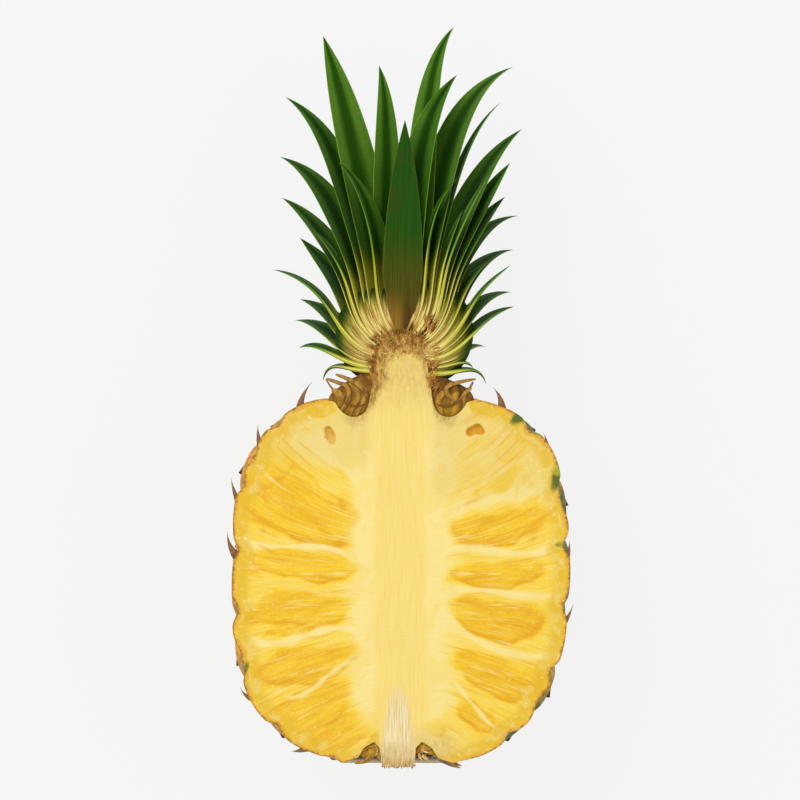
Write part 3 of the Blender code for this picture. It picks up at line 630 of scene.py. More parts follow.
# Gold in the cells and at their lower outlines, and pale in the membranes and by the core
cells, outlines = np.zeros_like(right), np.zeros_like(right)
for *place, strength in CELLS:
    distance = np.sqrt(oval(warped_right, warped_up, *place))
    lower = smooth_step((place[1] + 1.0 - warped_up) / 3)
    cells = np.maximum(cells, strength * smooth_step((1.12 - distance) / 0.32))
    outlines = np.maximum(outlines, strength * hump((distance - 0.88) / 0.10) * lower)
upper_pale = smooth_step((up - np.where(right < 0, *PALE_ABOVE)) / 14)
zone = smooth_step((warped_side - CELLS_FROM + 7 * smooth_step((-46 - up) / 14)) / 12)
gold = zone * (0.34 - 0.26 * upper_pale) + 0.50 * cells + 0.34 * outlines
membranes = membrane_share(right, up)
halo = hump(np.maximum(warped_side - 13.0, 0) / 5.5) * smooth_step((side - 7.5) / 4)
halo *= 0.25 + 0.75 * smooth_step((up + 60) / 16)
pale = np.clip(membranes + 0.95 * halo + 0.40 * upper_pale * (1 - gold), 0, 1)

# The core, the stalk's fibres below it, and the brown tissue round them
core_half = CORE_HALF + 0.8 * np.sin(up * 0.21) + 0.4 * np.sin(0.57 * up + right)
core_half += CORE_GAIN * smooth_step((up - 42) / 26)
core = 0.9 * (1 - smooth_step((side - core_half) / CORE_FADE))
fringe = (hump((up + 64.5) / 6.0) * hump((right - 13) / 8)
          + hump((up + 67) / 4) * hump((right + 9) / 4))
stalk_half = np.interp(up, (-80, -66, -50, -37), (7.8, 6.4, 4.2, 1.0))
stalk = smooth_step((stalk_half - np.abs(right + 1.0)) / 2.4 + 0.5)
stalk = np.clip(stalk * smooth_step((STALK_FROM - up) / 14) + 0.5 * fringe, 0, 1)
husk_and_shade = husk_and_shade_share(right, up, fringe)

# Green and dark patches, and the cups
green, mark = np.zeros_like(right), np.zeros_like(right)
for place in GREEN_PATCHES:
    green = np.maximum(green, smooth_step(1.4 - oval(warped_right, warped_up, *place)))
for *place, strength in MARKS:
    slope = 25.0 * np.sign(place[0] * place[1])
    mark = np.maximum(mark, strength * np.exp(-oval(right, up, *place, slope)))
cut_depth = np.zeros_like(right)
for *place, brown in CUP_PLACES:
    bow = np.where(right > 0, 0.10, 0.0) * (right - place[0]) ** 2
    wobble = 0.22 * np.sin(1.3 * right + 0.5 * up) + 0.16 * np.sin(1.9 * up - 0.8 * right)
    inside = oval(right, up + bow, *place, 14.0) + wobble
    cut_depth += CUP_DEPTH * np.sqrt(np.clip(1 - inside, 0, 1))
    mark = np.maximum(mark, brown * smooth_step((1.25 - inside) * 1.6))
    gold = np.maximum(gold, smooth_step((1.45 - inside) * 1.6))
    pale = np.maximum(pale, hump((inside - 1.7) / 0.5))
cut_depth += CELL_RELIEF * (1 - membranes) * (gold - 0.3) * smooth_step(to_edge / 3)
cut_points[..., 2] = CUT_HEIGHT - np.maximum(cut_depth, 0)

# Fibres climb outwards, more steeply towards the shoulder and down towards the base. No rim
# is drawn where the edge is husk or under the moat's painted shadow, by the axis or in the moat.
rise = np.interp(up, (-70, 0, 60), (-0.55, 0.0, 0.75))
fibre = np.stack([side / 9.0, (up - rise * (side - 12)) / 0.75, 0 * right], -1)
rimless = husk_and_shade + smooth_step((9 - side) / 3) + smooth_step((27 - side) / 4) * smooth_step(
    (up - 40) / 6)
cut_face = make_piece(
    "cut_face", cut_points, [grid_faces(*right.shape)[:, ::-1]], flesh_finish(),
    {"gold": gold, "pale": pale, "core": core, "stalk": stalk, "green": 0.95 * green,
     "mark": mark, "husk_and_shade": husk_and_shade, "fibre": fibre, "to_edge": to_edge + 20 * rimless,
     "out": smooth_step((warped_side - 11) / 9) * (1 - husk_and_shade),
     "tan": 0.17 * upper_pale * (1 - husk_and_shade) * smooth_step((side - 9) / 6)})
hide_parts("half_fruit")


# The eyes' bracts: a dry pointed scale on each eye, papery and purple-brown, darker at its
# foot. Those that the knife left standing in the cut stick out past the rind's edge.
SCALE_LENGTH = 0.0110
SCALE_WIDTH = 0.0052
SCALE_THICKNESS = 0.0016
SCALE_TILT = 14.0
SCALE_FOOT = -0.0030
SCALE_SINK = 0.0007
SCALE_MIN_DEPTH = 0.0090
SCALE_MIN_HEIGHT = 0.0026
SCALE_TABLE_GAP = 0.0002
EDGE_SCALE_WIDTH = 0.0040
EDGE_SCALE_DEPTH = 0.0011
EDGE_SCALE_FOOT = 0.95
# Scales at the cut, as foot, bend and tip (right, up) in millimetres
EDGE_SCALES = (
    ((-40.3, 66.1), (-38.9, 68.6), (-33.8, 74.5)), ((-55.1, 50.2), (-54.9, 53.0), (-54.3, 58.1)),
    ((-63.1, 27.4), (-63.7, 31.5), (-64.6, 38.0)), ((-65.0, 8.0), (-65.9, 11.5), (-66.0, 17.5)),
    ((-56.2, -48.3), (-58.9, -46.9), (-61.2, -41.4)),
    ((-35.7, -66.9), (-38.5, -66.4), (-41.8, -65.7)),
    ((40.3, 66.1), (38.6, 68.9), (35.0, 72.2)), ((57.8, 46.4), (56.8, 50.0), (54.0, 55.1)),
    ((64.2, 5.3), (64.6, 9.0), (63.8, 14.1)), ((62.7, -20.1), (63.5, -16.5), (65.4, -9.9)),
)


def spike_rings(foot, along, thick, length, width, thickness, bend, rows=9, columns=8):
    """Points of curved pointed scales, [scale, row, column]: oval rings that shrink to the
    tip as 1 - t^1.5, along a line that bends outwards by bend t^2."""
    aside = np.cross(along, thick)
    share = np.linspace(0, 1, rows)[None, :, None]
    turn = np.linspace(0, 2 * math.pi, columns, endpoint=False)[None, None]
    size = np.maximum(1 - share ** 1.5, 0.02)
    line = foot[:, None] + along[:, None] * (share * length) + thick[:, None] * (
        bend * length * share ** 2)
    across = 0.5 * width * size * np.cos(turn)
    up = 0.5 * thickness * size * np.sin(turn)
    return (line[:, :, None] + aside[:, None, None] * across[..., None]
            + thick[:, None, None] * up[..., None])


def bent_line(foot, bend, tip, share):
    """A parabola from foot to tip: foot (1 - t)^2 + 2 bend t (1 - t) + tip t^2."""
    return foot * (1 - share) ** 2 + 2 * bend * share * (1 - share) + tip * share ** 2


def along_tubes(points):
    """How far along its tube each point of [tube, row, column] is, from 0 to 1."""
    return np.linspace(0, 1, points.shape[1])[:, None] + np.zeros(points.shape[:3])


def ring_faces(count, rows, columns):
    """Faces of count closed tubes, each rows of rings, with both ends closed."""
    start = np.arange(count)[:, None, None] * rows * columns
    row = np.arange(rows - 1)[None, :, None] * columns
    column = np.arange(columns)[None, None]
    ahead = (column + 1) % columns
    quads = np.stack([start + row + column, start + row + ahead,
                      start + row + columns + ahead, start + row + columns + column], -1)
    first = (start[..., 0] + np.arange(columns)[None])[:, ::-1]
    last = start[..., 0] + (rows - 1) * columns + np.arange(columns)[None]
    return [quads.reshape(-1, 4), first, last]


def scale_finish():
    """Dry brown skin with fine flecks, darker at the bract's foot."""
    finish, tree = new_finish("dry_scale", Roughness=0.7, Specular_IOR_Level=0.12)
    fleck = grain(tree, object_place(tree), 900.0, 4.0, 0.6)
    brown = mixed(tree, fleck, (0.13, 0.055, 0.024, 1), (0.36, 0.19, 0.085, 1))
    foot = stepped(tree, attribute(tree, "along"), 0.30, 0.0)
    brown = mixed(tree, foot, brown, (0.09, 0.035, 0.02, 1))
    return finished(finish, brown, fleck, 0.0004, 0.6)


dry_scale = scale_finish()
standing = (eye_middles[:, 2] < CUT_HEIGHT - SCALE_MIN_DEPTH) & (
    eye_middles[:, 2] > SCALE_MIN_HEIGHT)
feet, outs, ups = eye_middles[standing], eye_outward[standing], eye_crownward[standing]
tilt = math.radians(SCALE_TILT)
alongs = ups * math.cos(tilt) + outs * math.sin(tilt)
thicks = outs * math.cos(tilt) - ups * math.sin(tilt)
feet = feet + ups * SCALE_FOOT - outs * SCALE_SINK
feet[:, 0] += lean_base(eye_middles[standing])
scale_points = spike_rings(feet, alongs, thicks, SCALE_LENGTH, SCALE_WIDTH, SCALE_THICKNESS, 0.0)
scale_points[..., 2] = np.maximum(scale_points[..., 2], SCALE_TABLE_GAP)
eye_scales = make_piece(
    "eye_scales", scale_points, ring_faces(*scale_points.shape[:3]), dry_scale,
    {"along": along_tubes(scale_points)})
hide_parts("half_fruit")

line = np.array(EDGE_SCALES) / 1000
line[:, 0] *= EDGE_SCALE_FOOT
share = np.linspace(0, 1, 14)[None, :, None]
centre = bent_line(line[:, None, 0], line[:, None, 1], line[:, None, 2], share)
step = np.gradient(centre, axis=1)
step /= np.linalg.norm(step, axis=2, keepdims=True)
turn = np.linspace(0, 2 * math.pi, 8, endpoint=False)
size = EDGE_SCALE_WIDTH / 2 * np.maximum((1 - share) ** 1.25, 0.03)
across = size * np.cos(turn)
edge_points = np.stack(np.broadcast_arrays(
    centre[..., None, 0] - step[..., None, 1] * across,
    centre[..., None, 1] + step[..., None, 0] * across,
    CUT_HEIGHT - EDGE_SCALE_DEPTH + 0.35 * size * np.sin(turn)), -1)
make_piece(
    "edge_scales", edge_points, ring_faces(*edge_points.shape[:3]), dry_scale,
    {"along": along_tubes(edge_points)})


# The crown's leaves: stiff channelled blades that fan out from the heart of the crown, with
# their broad pale feet wrapped round the stem. They are green, with painted shade along the
# channel and a painted satin sheen beside it, a bright thin margin and fine veins, and turn
# yellow, cream and tan towards the foot.
HEART_HEIGHT = 0.0878
HEART_RADIUS = 0.0040
HEART_SPREAD = 0.0150
FOOT_BEND = 80.0
FOOT_BEND_REACH = 0.0171
FOOT_BEND_POWER = 1.8
CURL_START = 0.45
CURL_POWER = 3
FOOT_REACHES = (0.004, 0.030)
LEAF_STEM_GAP = 0.0017
LEAF_CLEAR_OF_DOME = 0.0062
LEAF_FOOT_WIDTH = 0.65
LEAF_FULL_WIDTH_AT = 0.30
LEAF_WRAP_MIN_RADIUS = 0.0080
LEAF_CHANNEL = 0.08
LEAF_FOOT_THICKNESS = 0.0026
LEAF_THICKNESS = 0.0008
LEAF_THICK_REACH = 0.010
LEAF_ROWS = 56
LEAF_COLUMNS = 12
LEAF_TABLE_GAP = 0.0004
CUT_GAP = 0.00005
FINE_VEIN = 0.0006
RIB_STEP = 0.00001
# Tip to the right, above the heart and below the cut, width, angle at the heart, lean of the
# foot, twist to face the cut, how late it tapers, and how dark the leaf is
LEAVES = (
    (-0.0308, -0.0106, 0.0080, 0.013, 0.0, 0, 10, 3.0, 0.3),
    (-0.0388, 0.0008, 0.0050, 0.015, 9.0, 0, 15, 3.0, 0.2),
    (-0.0403, 0.0103, 0.0240, 0.018, 17.0, 0, 10, 2.6, 0.3),
    (-0.0384, 0.0182, 0.0290, 0.015, 25.0, 0, 10, 2.6, 0.6),
    (-0.0486, 0.0293, 0.0040, 0.015, 38.0, 0, 12, 3.0, 0.4),
    (-0.0384, 0.0414, 0.0280, 0.018, 45.0, 0, 10, 2.6, 0.8),
    (-0.0452, 0.0566, 0.0220, 0.019, 55.5, 0, 15, 3.2, 0.5),
    (-0.0334, 0.0445, 0.0040, 0.013, 59.0, 0, 15, 3.0, 0.3),
    (-0.0460, 0.0722, 0.0310, 0.021, 62.8, 0, 12, 3.4, 0.6),
    (-0.0441, 0.0950, 0.0370, 0.018, 68.6, 0, 10, 3.4, 0.6),
    (-0.0084, 0.1070, 0.0440, 0.013, 77.0, -34, 0, 3.4, 0.5),
    (-0.0296, 0.1182, 0.0330, 0.020, 72.6, 0, 10, 4.0, 0.2),
    (-0.0240, 0.0703, 0.0090, 0.017, 80.3, 10, 15, 3.0, 0.7),
    (0.0331, -0.0125, 0.0070, 0.013, -6.2, 0, 10, 3.0, 0.3),
    (0.0285, -0.0042, 0.0100, 0.012, 6.0, 0, 10, 2.6, 0.6),
    (0.0319, 0.0023, 0.0140, 0.013, 13.0, 0, 10, 2.6, 0.6),
    (0.0429, 0.0156, 0.0090, 0.015, 24.0, 0, 12, 3.0, 0.3),
    (0.0418, 0.0209, 0.0180, 0.016, 32.8, 0, 12, 3.2, 0.4),
    (0.0418, 0.0312, 0.0020, 0.011, 40.5, 0, 10, 3.0, 0.3),
    (0.0429, 0.0369, 0.0260, 0.016, 46.2, 0, 10, 3.2, 0.5),
    (0.0327, 0.0323, 0.0110, 0.013, 49.9, 0, 10, 4.0, 0.3),
    (0.0448, 0.0498, 0.0320, 0.015, 53.6, 0, 10, 3.2, 0.6),
    (0.0395, 0.0570, 0.0180, 0.017, 58.36, 0, 15, 3.4, 0.5),
    (0.0414, 0.0699, 0.0200, 0.016, 61.03, 0, 15, 4.0, 0.4),
    (0.0460, 0.0828, 0.0300, 0.020, 64.05, 0, 8, 3.4, 0.5),
    (0.0338, 0.0657, 0.0030, 0.012, 67.57, 0, 15, 3.0, 0.2),
    (0.0236, 0.0525, 0.0040, 0.011, 70.18, 0, 12, 3.0, 0.3),
    (0.0426, 0.1064, 0.0380, 0.0212, 74.98, -3, 4, 4.0, 0.4),
    (0.0380, 0.0931, 0.0220, 0.0090, 72.72, 0, 0, 3.2, 0.2),
    (0.0201, 0.1216, 0.0500, 0.0142, 78.16, -20, 5, 3.2, 0.3),
    (0.0224, 0.0650, 0.0034, 0.0115, 80.77, 37, 4, 3.0, 0.5),
    (0.0213, 0.1034, 0.0235, 0.017, 84.0, 48, 13, 4.0, 0.8),
    (0.0012, -0.0080, 0.0330, 0.014, -5.0, 0, 0, 3.0, 0.5),
    (-0.0160, 0.0010, 0.0350, 0.014, 4.0, 0, 0, 3.0, 0.3),
    (0.0150, 0.0060, 0.0360, 0.014, 10.0, 0, 0, 3.0, 0.4),
    (-0.0030, 0.0160, 0.0410, 0.015, 16.8, 0, 0, 3.0, 0.5),
    (0.0090, 0.0250, 0.0430, 0.015, 26.0, 0, 0, 3.0, 0.3),
    (-0.0190, 0.0300, 0.0400, 0.015, 31.0, 0, 0, 3.0, 0.6),
    (0.0210, 0.0390, 0.0390, 0.015, 38.0, 0, 0, 3.0, 0.4),
    (-0.0020, 0.0440, 0.0460, 0.016, 49.5, 0, 0, 3.0, 0.5),
    (0.0000, 0.0660, 0.0460, 0.014, 59.6, 0, 0, 3.0, 0.4),
)


def stem_radius(height):
    """The neck's radius at a height above the heart."""
    stem = np.array(NECK_LINE)[::-1]
    return np.interp(height + HEART_HEIGHT, stem[:, 1], stem[:, 0])


def midrib(leaf, reach_at):
    """(radius, height above the heart) of a leaf's midrib at a reach from the heart. It
    rises at the leaf's own angle, less a bend exp(-(r / 17 mm)^1.8) that brings the foot
    down round the stem, less a curl that grows as the cube of the way to the tip."""
    right, height, depth, _, own = leaf[:5]
    out = math.hypot(right, depth) - HEART_RADIUS
    curl = own - math.degrees(math.atan2(height, out))
    foot_bend = FOOT_BEND * (1 - min(max(own / 90, 0), 1) ** 3)
    fade = np.exp(-(reach_at / FOOT_BEND_REACH) ** FOOT_BEND_POWER)
    tipward = np.clip((reach_at / math.hypot(out, height) - CURL_START) / (1 - CURL_START), 0, 1)
    rise = np.radians(own - foot_bend * fade - curl * tipward ** CURL_POWER)
    spread = HEART_RADIUS * (1 - np.exp(-(reach_at / HEART_SPREAD) ** 2))
    return reach_at * np.cos(rise) + spread, reach_at * np.sin(rise)


def leaf_surface(leaf, across, along, lift_by):
    """Points of a leaf, with across from -1 to 1 between its margins and along from 0 at
    the foot to 1 at the tip. It wraps round the axis, its margins rise as across^2, it
    twists to face the cut, and lift_by moves it off its middle surface."""
    right, height, depth, width, _, lean, twist, taper = leaf[:8]
    tip_reach = math.hypot(math.hypot(right, depth) - HEART_RADIUS, height)
    tried = np.linspace(*FOOT_REACHES, 500)
    radius, level = midrib(leaf, tried)
    blocked = (radius < stem_radius(level) + LEAF_STEM_GAP) & (level < LEAF_CLEAR_OF_DOME)
    foot_reach = tried[np.nonzero(blocked)[0][-1] + 1]
    reach = foot_reach + (tip_reach - foot_reach) * along
    radius, level = midrib(leaf, reach)
    swell = LEAF_FOOT_WIDTH + (1 - LEAF_FOOT_WIDTH) * smooth_step(along / LEAF_FULL_WIDTH_AT)
    half = 0.5 * width * swell * (1 - along ** taper)
    turn = np.radians(twist) * along
    lift = half * across * np.sin(turn) * np.sign(-right)
    lift = lift + LEAF_CHANNEL * half * across ** 2 * np.clip(2 * along, 0, 1) + lift_by
    around = math.atan2(depth, -right) - math.radians(lean) * np.sign(right) * (1 - along) ** 2
    around = around + half * across * np.cos(turn) / np.maximum(radius, LEAF_WRAP_MIN_RADIUS)
    ahead_radius, ahead_level = midrib(leaf, reach + RIB_STEP)
    out_step, up_step = ahead_radius - radius, ahead_level - level
    step = np.hypot(out_step, up_step)
    radius = radius - lift * up_step / step
    level = HEART_HEIGHT + level + lift * out_step / step
    return place_on_axis(radius, np.degrees(around), level), reach, half


def blade_section(columns):
    """(across, side of the blade) once round a blade's section, right margin to left on the
    upper side and back below."""
    turn = np.linspace(0, 2 * math.pi, 2 * columns, endpoint=False)
    return np.cos(turn), np.sin(turn)


def leaf_finish():
    """Green by how dark the leaf is: painted shade along its channel, with a paler band of
    painted satin sheen on each side of it, veins along it and fine pale flecks. It turns
    yellow, cream and tan towards the foot by the distance from the heart, and has a thin
    bright margin."""
    finish, tree = new_finish("leaf", Roughness=0.45, Specular_IOR_Level=0.02)
    vein = grain(tree, attribute(tree, "blade", "Vector"), 1.0, 3.0, 0.6)
    fleck = grain(tree, object_place(tree), 1500.0, 2.0, 0.7)
    cloud = grain(tree, object_place(tree), 70.0, 2.0)
    shade = swung(tree, attribute(tree, "dark"), cloud, 0.6)
    # Painted light: the channel is painted darker as shade, and a band on each side of it paler
    # as a satin sheen.
    channel_shade_green = mixed(tree, shade, (0.016, 0.068, 0.002, 1), (0.006, 0.034, 0.001, 1))
    sheen_green = mixed(tree, shade, (0.112, 0.240, 0.022, 1), (0.036, 0.122, 0.008, 1))
    centre = sums(tree, "ABSOLUTE", attribute(tree, "across"))
    sheen_band = stepped(tree, swung(tree, centre, vein, 0.34), 0.12, 0.62)
    sheen_band = times(tree, sheen_band, sums(tree, "MULTIPLY_ADD", fleck, 0.9, 0.35))
    green = mixed(tree, sheen_band, channel_shade_green, sheen_green)
    reach = swung(tree, attribute(tree, "reach"), vein, 0.014)
    outer = times(tree, stepped(tree, centre, 0.2, 0.9), 0.006)
    yellow = stepped(tree, sums(tree, "SUBTRACT", reach, outer), 0.036, 0.021)
    gold = toned(tree, vein, 0.35, 0.65, (0.30, 0.30, 0.015, 1), (0.56, 0.53, 0.055, 1))
    green = mixed(tree, yellow, green, gold)
    foot = toned(tree, vein, 0.38, 0.62, (0.44, 0.27, 0.055, 1), (0.82, 0.70, 0.24, 1))
    green = mixed(tree, stepped(tree, reach, 0.024, 0.013), green, foot)
    edge = mixed(tree, yellow, (0.22, 0.42, 0.035, 1), (0.80, 0.70, 0.20, 1))
    green = painted(tree, green, stepped(tree, centre, 0.93, 0.99), 0.75, edge)
    return finished(finish, green, vein, 0.00012, 0.6)


leaf_green = leaf_finish()
section_across, section_side = blade_section(LEAF_COLUMNS)
leaf_along = np.linspace(0, 1, LEAF_ROWS)[:, None] ** 1.15 + 0 * section_across
leaf_across = section_across + 0 * leaf_along
for number, leaf in enumerate(LEAVES, 1):
    _, reach, _ = leaf_surface(leaf, leaf_across, leaf_along, 0.0)
    thickness = LEAF_THICKNESS + (LEAF_FOOT_THICKNESS - LEAF_THICKNESS) * np.exp(
        -(reach - reach[0, 0]) / LEAF_THICK_REACH)
    lift = 0.5 * thickness * section_side * (1 - 0.97 * leaf_along ** 6)
    points, reach, half = leaf_surface(leaf, leaf_across, leaf_along, lift)
    points[..., 2] = np.clip(points[..., 2], LEAF_TABLE_GAP, CUT_HEIGHT - CUT_GAP)
    green_from = 1.55 - 0.60 * min(max(leaf[4] / 70, 0), 1)
    piece = make_piece(
        f"leaf_blade_{number:02d}", points, ring_faces(1, *reach.shape), leaf_green,
        {"across": leaf_across, "reach": reach * green_from, "dark": leaf[8] + 0 * reach,
         "blade": np.stack([reach / 0.020, half * leaf_across / FINE_VEIN,
                            number + 0 * reach], -1)})
    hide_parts(f"leaf_{number:02d}")


# Leaf sheaths: between the leaves' feet the knife has cut through packed young sheaths,
# cream and tan beside the stem and yellow-green further out, with thin brown lines.
# They follow the leaves' midribs; reaches are for each angle at the heart.
SHEATH_ANGLES = (-34.0, -10.0, 20.0, 45.0, 65.0, 86.0)
SHEATH_REACHES = (0.0150, 0.0190, 0.0225, 0.0250, 0.0260, 0.0240)
SHEATH_START = 0.0040
SHEATH_FAN = 0.04
SHEATH_SIDE = 0.06
SHEATH_DROP = 0.0050
SHEATH_TOP = 0.0007
SHEATH_THICKNESS = 0.0030
SHEATH_ROWS = 150
SHEATH_COLUMNS = 40


def sheath_finish():
    """Cream and tan near the stem, then yellow-green, and dark green at the outer edge."""
    finish, tree = new_finish("leaf_sheath", Roughness=0.5, Specular_IOR_Level=0.1)
    vein = grain(tree, attribute(tree, "blade", "Vector"), 1.0, 4.0, 0.65)
    reach = attribute(tree, "reach")
    pale = toned(tree, vein, 0.38, 0.60, (0.36, 0.18, 0.030, 1), (0.84, 0.68, 0.23, 1))
    gold = toned(tree, vein, 0.38, 0.60, (0.15, 0.14, 0.010, 1), (0.56, 0.52, 0.06, 1))
    tint = mixed(tree, stepped(tree, reach, 0.0125, 0.0220), pale, gold)
    tint = mixed(tree, stepped(tree, reach, 0.0120, 0.0080), tint, (0.40, 0.21, 0.04, 1))
    outer = swung(tree, attribute(tree, "outer"), vein, 0.5)
    tint = mixed(tree, stepped(tree, outer, 0.68, 0.95), tint, (0.018, 0.055, 0.003, 1))
    return finished(finish, tint, vein, 0.0005, 0.8)


sheath_tint = sheath_finish()
sheath_share = np.linspace(0, 1, SHEATH_COLUMNS)
there_and_back = np.concatenate([sheath_share, sheath_share[::-1]])
sheath_angles = np.linspace(SHEATH_ANGLES[0], SHEATH_ANGLES[-1], SHEATH_ROWS)
for name, side_sign in (("left_sheaths", -1.0), ("right_sheaths", 1.0)):
    rings, reaches = [], []
    for angle in sheath_angles:
        turn = math.radians(angle)
        straight = (HEART_RADIUS + SHEATH_FAN * math.cos(turn), SHEATH_FAN * math.sin(turn),
                    0.0, 0.0, angle)
        last = np.interp(angle, SHEATH_ANGLES, SHEATH_REACHES) * (1 + SHEATH_SIDE * side_sign)
        reach = SHEATH_START + (last - SHEATH_START) * sheath_share
        radius, level = midrib(straight, reach)
        ripple = 0.0004 * np.sin(0.9 * angle + 60 * reach) - SHEATH_DROP * sheath_share ** 3
        upper = np.stack([side_sign * radius, HEART_HEIGHT + level,
                          CUT_HEIGHT - SHEATH_TOP + ripple], -1)
        lower = upper[::-1] - (0.0, 0.0, SHEATH_THICKNESS)
        rings.append(np.concatenate([upper, lower])[::int(side_sign)])
        reaches.append(np.concatenate([reach, reach[::-1]]))
    rings, reaches = np.array(rings), np.array(reaches)
    veins = sheath_angles[:, None] / 1.6 + 0 * reaches
    make_piece(
        name, rings, ring_faces(1, *reaches.shape), sheath_tint,
        {"reach": reaches, "outer": there_and_back + 0 * reaches,
         "blade": np.stack([reaches / 0.012, veins, 0 * veins], -1)})


# The middle leaf: the flat blade that stands just behind the cut, split by the knife. It is
# olive and green above, and gold and dark brown near the foot, where it has dried.
MIDDLE_FOOT = (0.0004, 0.0062, 0.0007)
MIDDLE_TIP = (0.0015, 0.0863, 0.0018)
MIDDLE_FOOT_WIDTH = 0.0080
MIDDLE_WIDTH = 0.0160
MIDDLE_HALF_THICKNESS = 0.0003


def middle_leaf_finish():
    """Olive and green, with gold and dark brown at the foot."""
    finish, tree = new_finish("middle_leaf", Roughness=0.5, Specular_IOR_Level=0.05)
    vein = grain(tree, attribute(tree, "blade", "Vector"), 1.0, 3.0, 0.6)
    cloud = grain(tree, object_place(tree), 90.0, 2.0)
    across = attribute(tree, "across")
    green = toned(tree, vein, 0.3, 0.7, (0.010, 0.056, 0.002, 1), (0.019, 0.080, 0.004, 1))
    green = mixed(tree, stepped(tree, cloud, 0.45, 0.75), green, (0.026, 0.062, 0.004, 1))
    left = toned(tree, vein, 0.3, 0.7, (0.17, 0.085, 0.008, 1), (0.31, 0.165, 0.022, 1))
    right = toned(tree, vein, 0.3, 0.7, (0.055, 0.025, 0.004, 1), (0.105, 0.052, 0.008, 1))
    dry = toned(tree, swung(tree, across, vein, 0.8), -0.35, 0.35, left, right)
    olive = toned(tree, vein, 0.3, 0.7, (0.042, 0.045, 0.003, 1), (0.095, 0.080, 0.006, 1))
    reach = swung(tree, attribute(tree, "reach"), vein, 0.016)
    green = mixed(tree, stepped(tree, reach, 0.046, 0.020), green, olive)
    green = mixed(tree, stepped(tree, reach, 0.024, 0.008), green, dry)
    margin = stepped(tree, sums(tree, "ABSOLUTE", across), 0.94, 0.99)
    green = painted(tree, green, margin, 0.5, (0.16, 0.22, 0.03, 1))
    return finished(finish, green, vein, 0.00012, 0.6)


foot, tip = np.array(MIDDLE_FOOT), np.array(MIDDLE_TIP)
line = foot + (tip - foot) * leaf_along[..., None]
half = 0.5 * (MIDDLE_FOOT_WIDTH + (MIDDLE_WIDTH - MIDDLE_FOOT_WIDTH) * smooth_step(
    leaf_along / 0.3)) * (1 - leaf_along ** 2.8)
depth = line[..., 2] + LEAF_CHANNEL * half * (1 - leaf_across ** 2) * np.clip(
    3 * leaf_along, 0, 1)
depth -= MIDDLE_HALF_THICKNESS * section_side * (1 - 0.9 * leaf_along ** 6)
middle_points = np.stack([line[..., 0] + half * leaf_across, HEART_HEIGHT + line[..., 1],
                          CUT_HEIGHT - np.maximum(depth, CUT_GAP)], -1)
middle_piece = make_piece(
    "middle_blade", middle_points, ring_faces(1, *depth.shape), middle_leaf_finish(),
    {"across": leaf_across, "reach": line[..., 1],
     "blade": np.stack([line[..., 1] / 0.030, half * leaf_across / FINE_VEIN, 0 * half], -1)})
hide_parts("leaf_middle")


# Dry bracts: brown papery scales that grow out of the moat round the neck and curl over the
# shoulder, stiff and wrinkled, with pale torn edges.
BRACT_TIPS = (
    (5, 0.0285, 0.0753), (24, 0.0272, 0.0716), (46, 0.0300, 0.0722), (68, 0.0275, 0.0714),
    (91, 0.0296, 0.0730), (114, 0.0270, 0.0716), (136, 0.0300, 0.0721), (157, 0.0268, 0.0713),
    (175, 0.0274, 0.0745),
)
BRACT_FOOT = (0.0140, 0.0635)
BRACT_BEND = (0.0215, 0.0610)
BRACT_LIFT = 0.0022
BRACT_WIDTH = 0.0085
BRACT_FOOT_WIDTH = 0.0050
BRACT_THICKNESS = 0.0009
BRACT_ROWS = 26


def bract_finish():
    """Light brown skin with a paler rim and a dark foot."""
    finish, tree = new_finish("dry_bract", Roughness=0.62, Specular_IOR_Level=0.12)
    fleck = grain(tree, object_place(tree), 500.0, 4.0, 0.6)
    brown = toned(tree, fleck, 0.3, 0.7, (0.17, 0.08, 0.025, 1), (0.50, 0.30, 0.11, 1))
    edge = stepped(tree, attribute(tree, "rim"), 0.75, 0.98)
    brown = painted(tree, brown, edge, 0.6, (0.46, 0.26, 0.09, 1))
    tip = stepped(tree, attribute(tree, "along"), 0.45, 0.80)
    brown = mixed(tree, tip, (0.17, 0.072, 0.010, 1), brown)
    return finished(finish, brown, fleck, 0.0005, 0.7)


dry_bract = bract_finish()
along = np.linspace(0, 1, BRACT_ROWS)[:, None] + 0 * section_across
across = section_across + 0 * along
width = BRACT_FOOT_WIDTH + (BRACT_WIDTH - BRACT_FOOT_WIDTH) * smooth_step(along / 0.5)
half = 0.5 * width * (1 - along ** 2)
for number, (tip_around, *tip) in enumerate(BRACT_TIPS, 1):
    lift = np.array((0.0, number % 2 * BRACT_LIFT))
    line = bent_line(BRACT_FOOT + lift, BRACT_BEND + lift, np.array(tip), along[..., None])
    wrinkle = 0.0004 * np.sin(9 * along + number) * across ** 2
    off = 0.5 * BRACT_THICKNESS * section_side * (1 - 0.5 * along) + wrinkle
    around = tip_around + np.degrees(half * across / line[..., 0])
    points = place_on_axis(line[..., 0] - off, around, line[..., 1] + off)
    points[..., 2] = np.minimum(points[..., 2], CUT_HEIGHT - CUT_GAP)
    piece = make_piece(
        f"bract_{number:02d}", points, ring_faces(1, *along.shape), dry_bract,
        {"rim": np.abs(across), "along": along})
    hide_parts(f"dry_bract_{number:02d}")
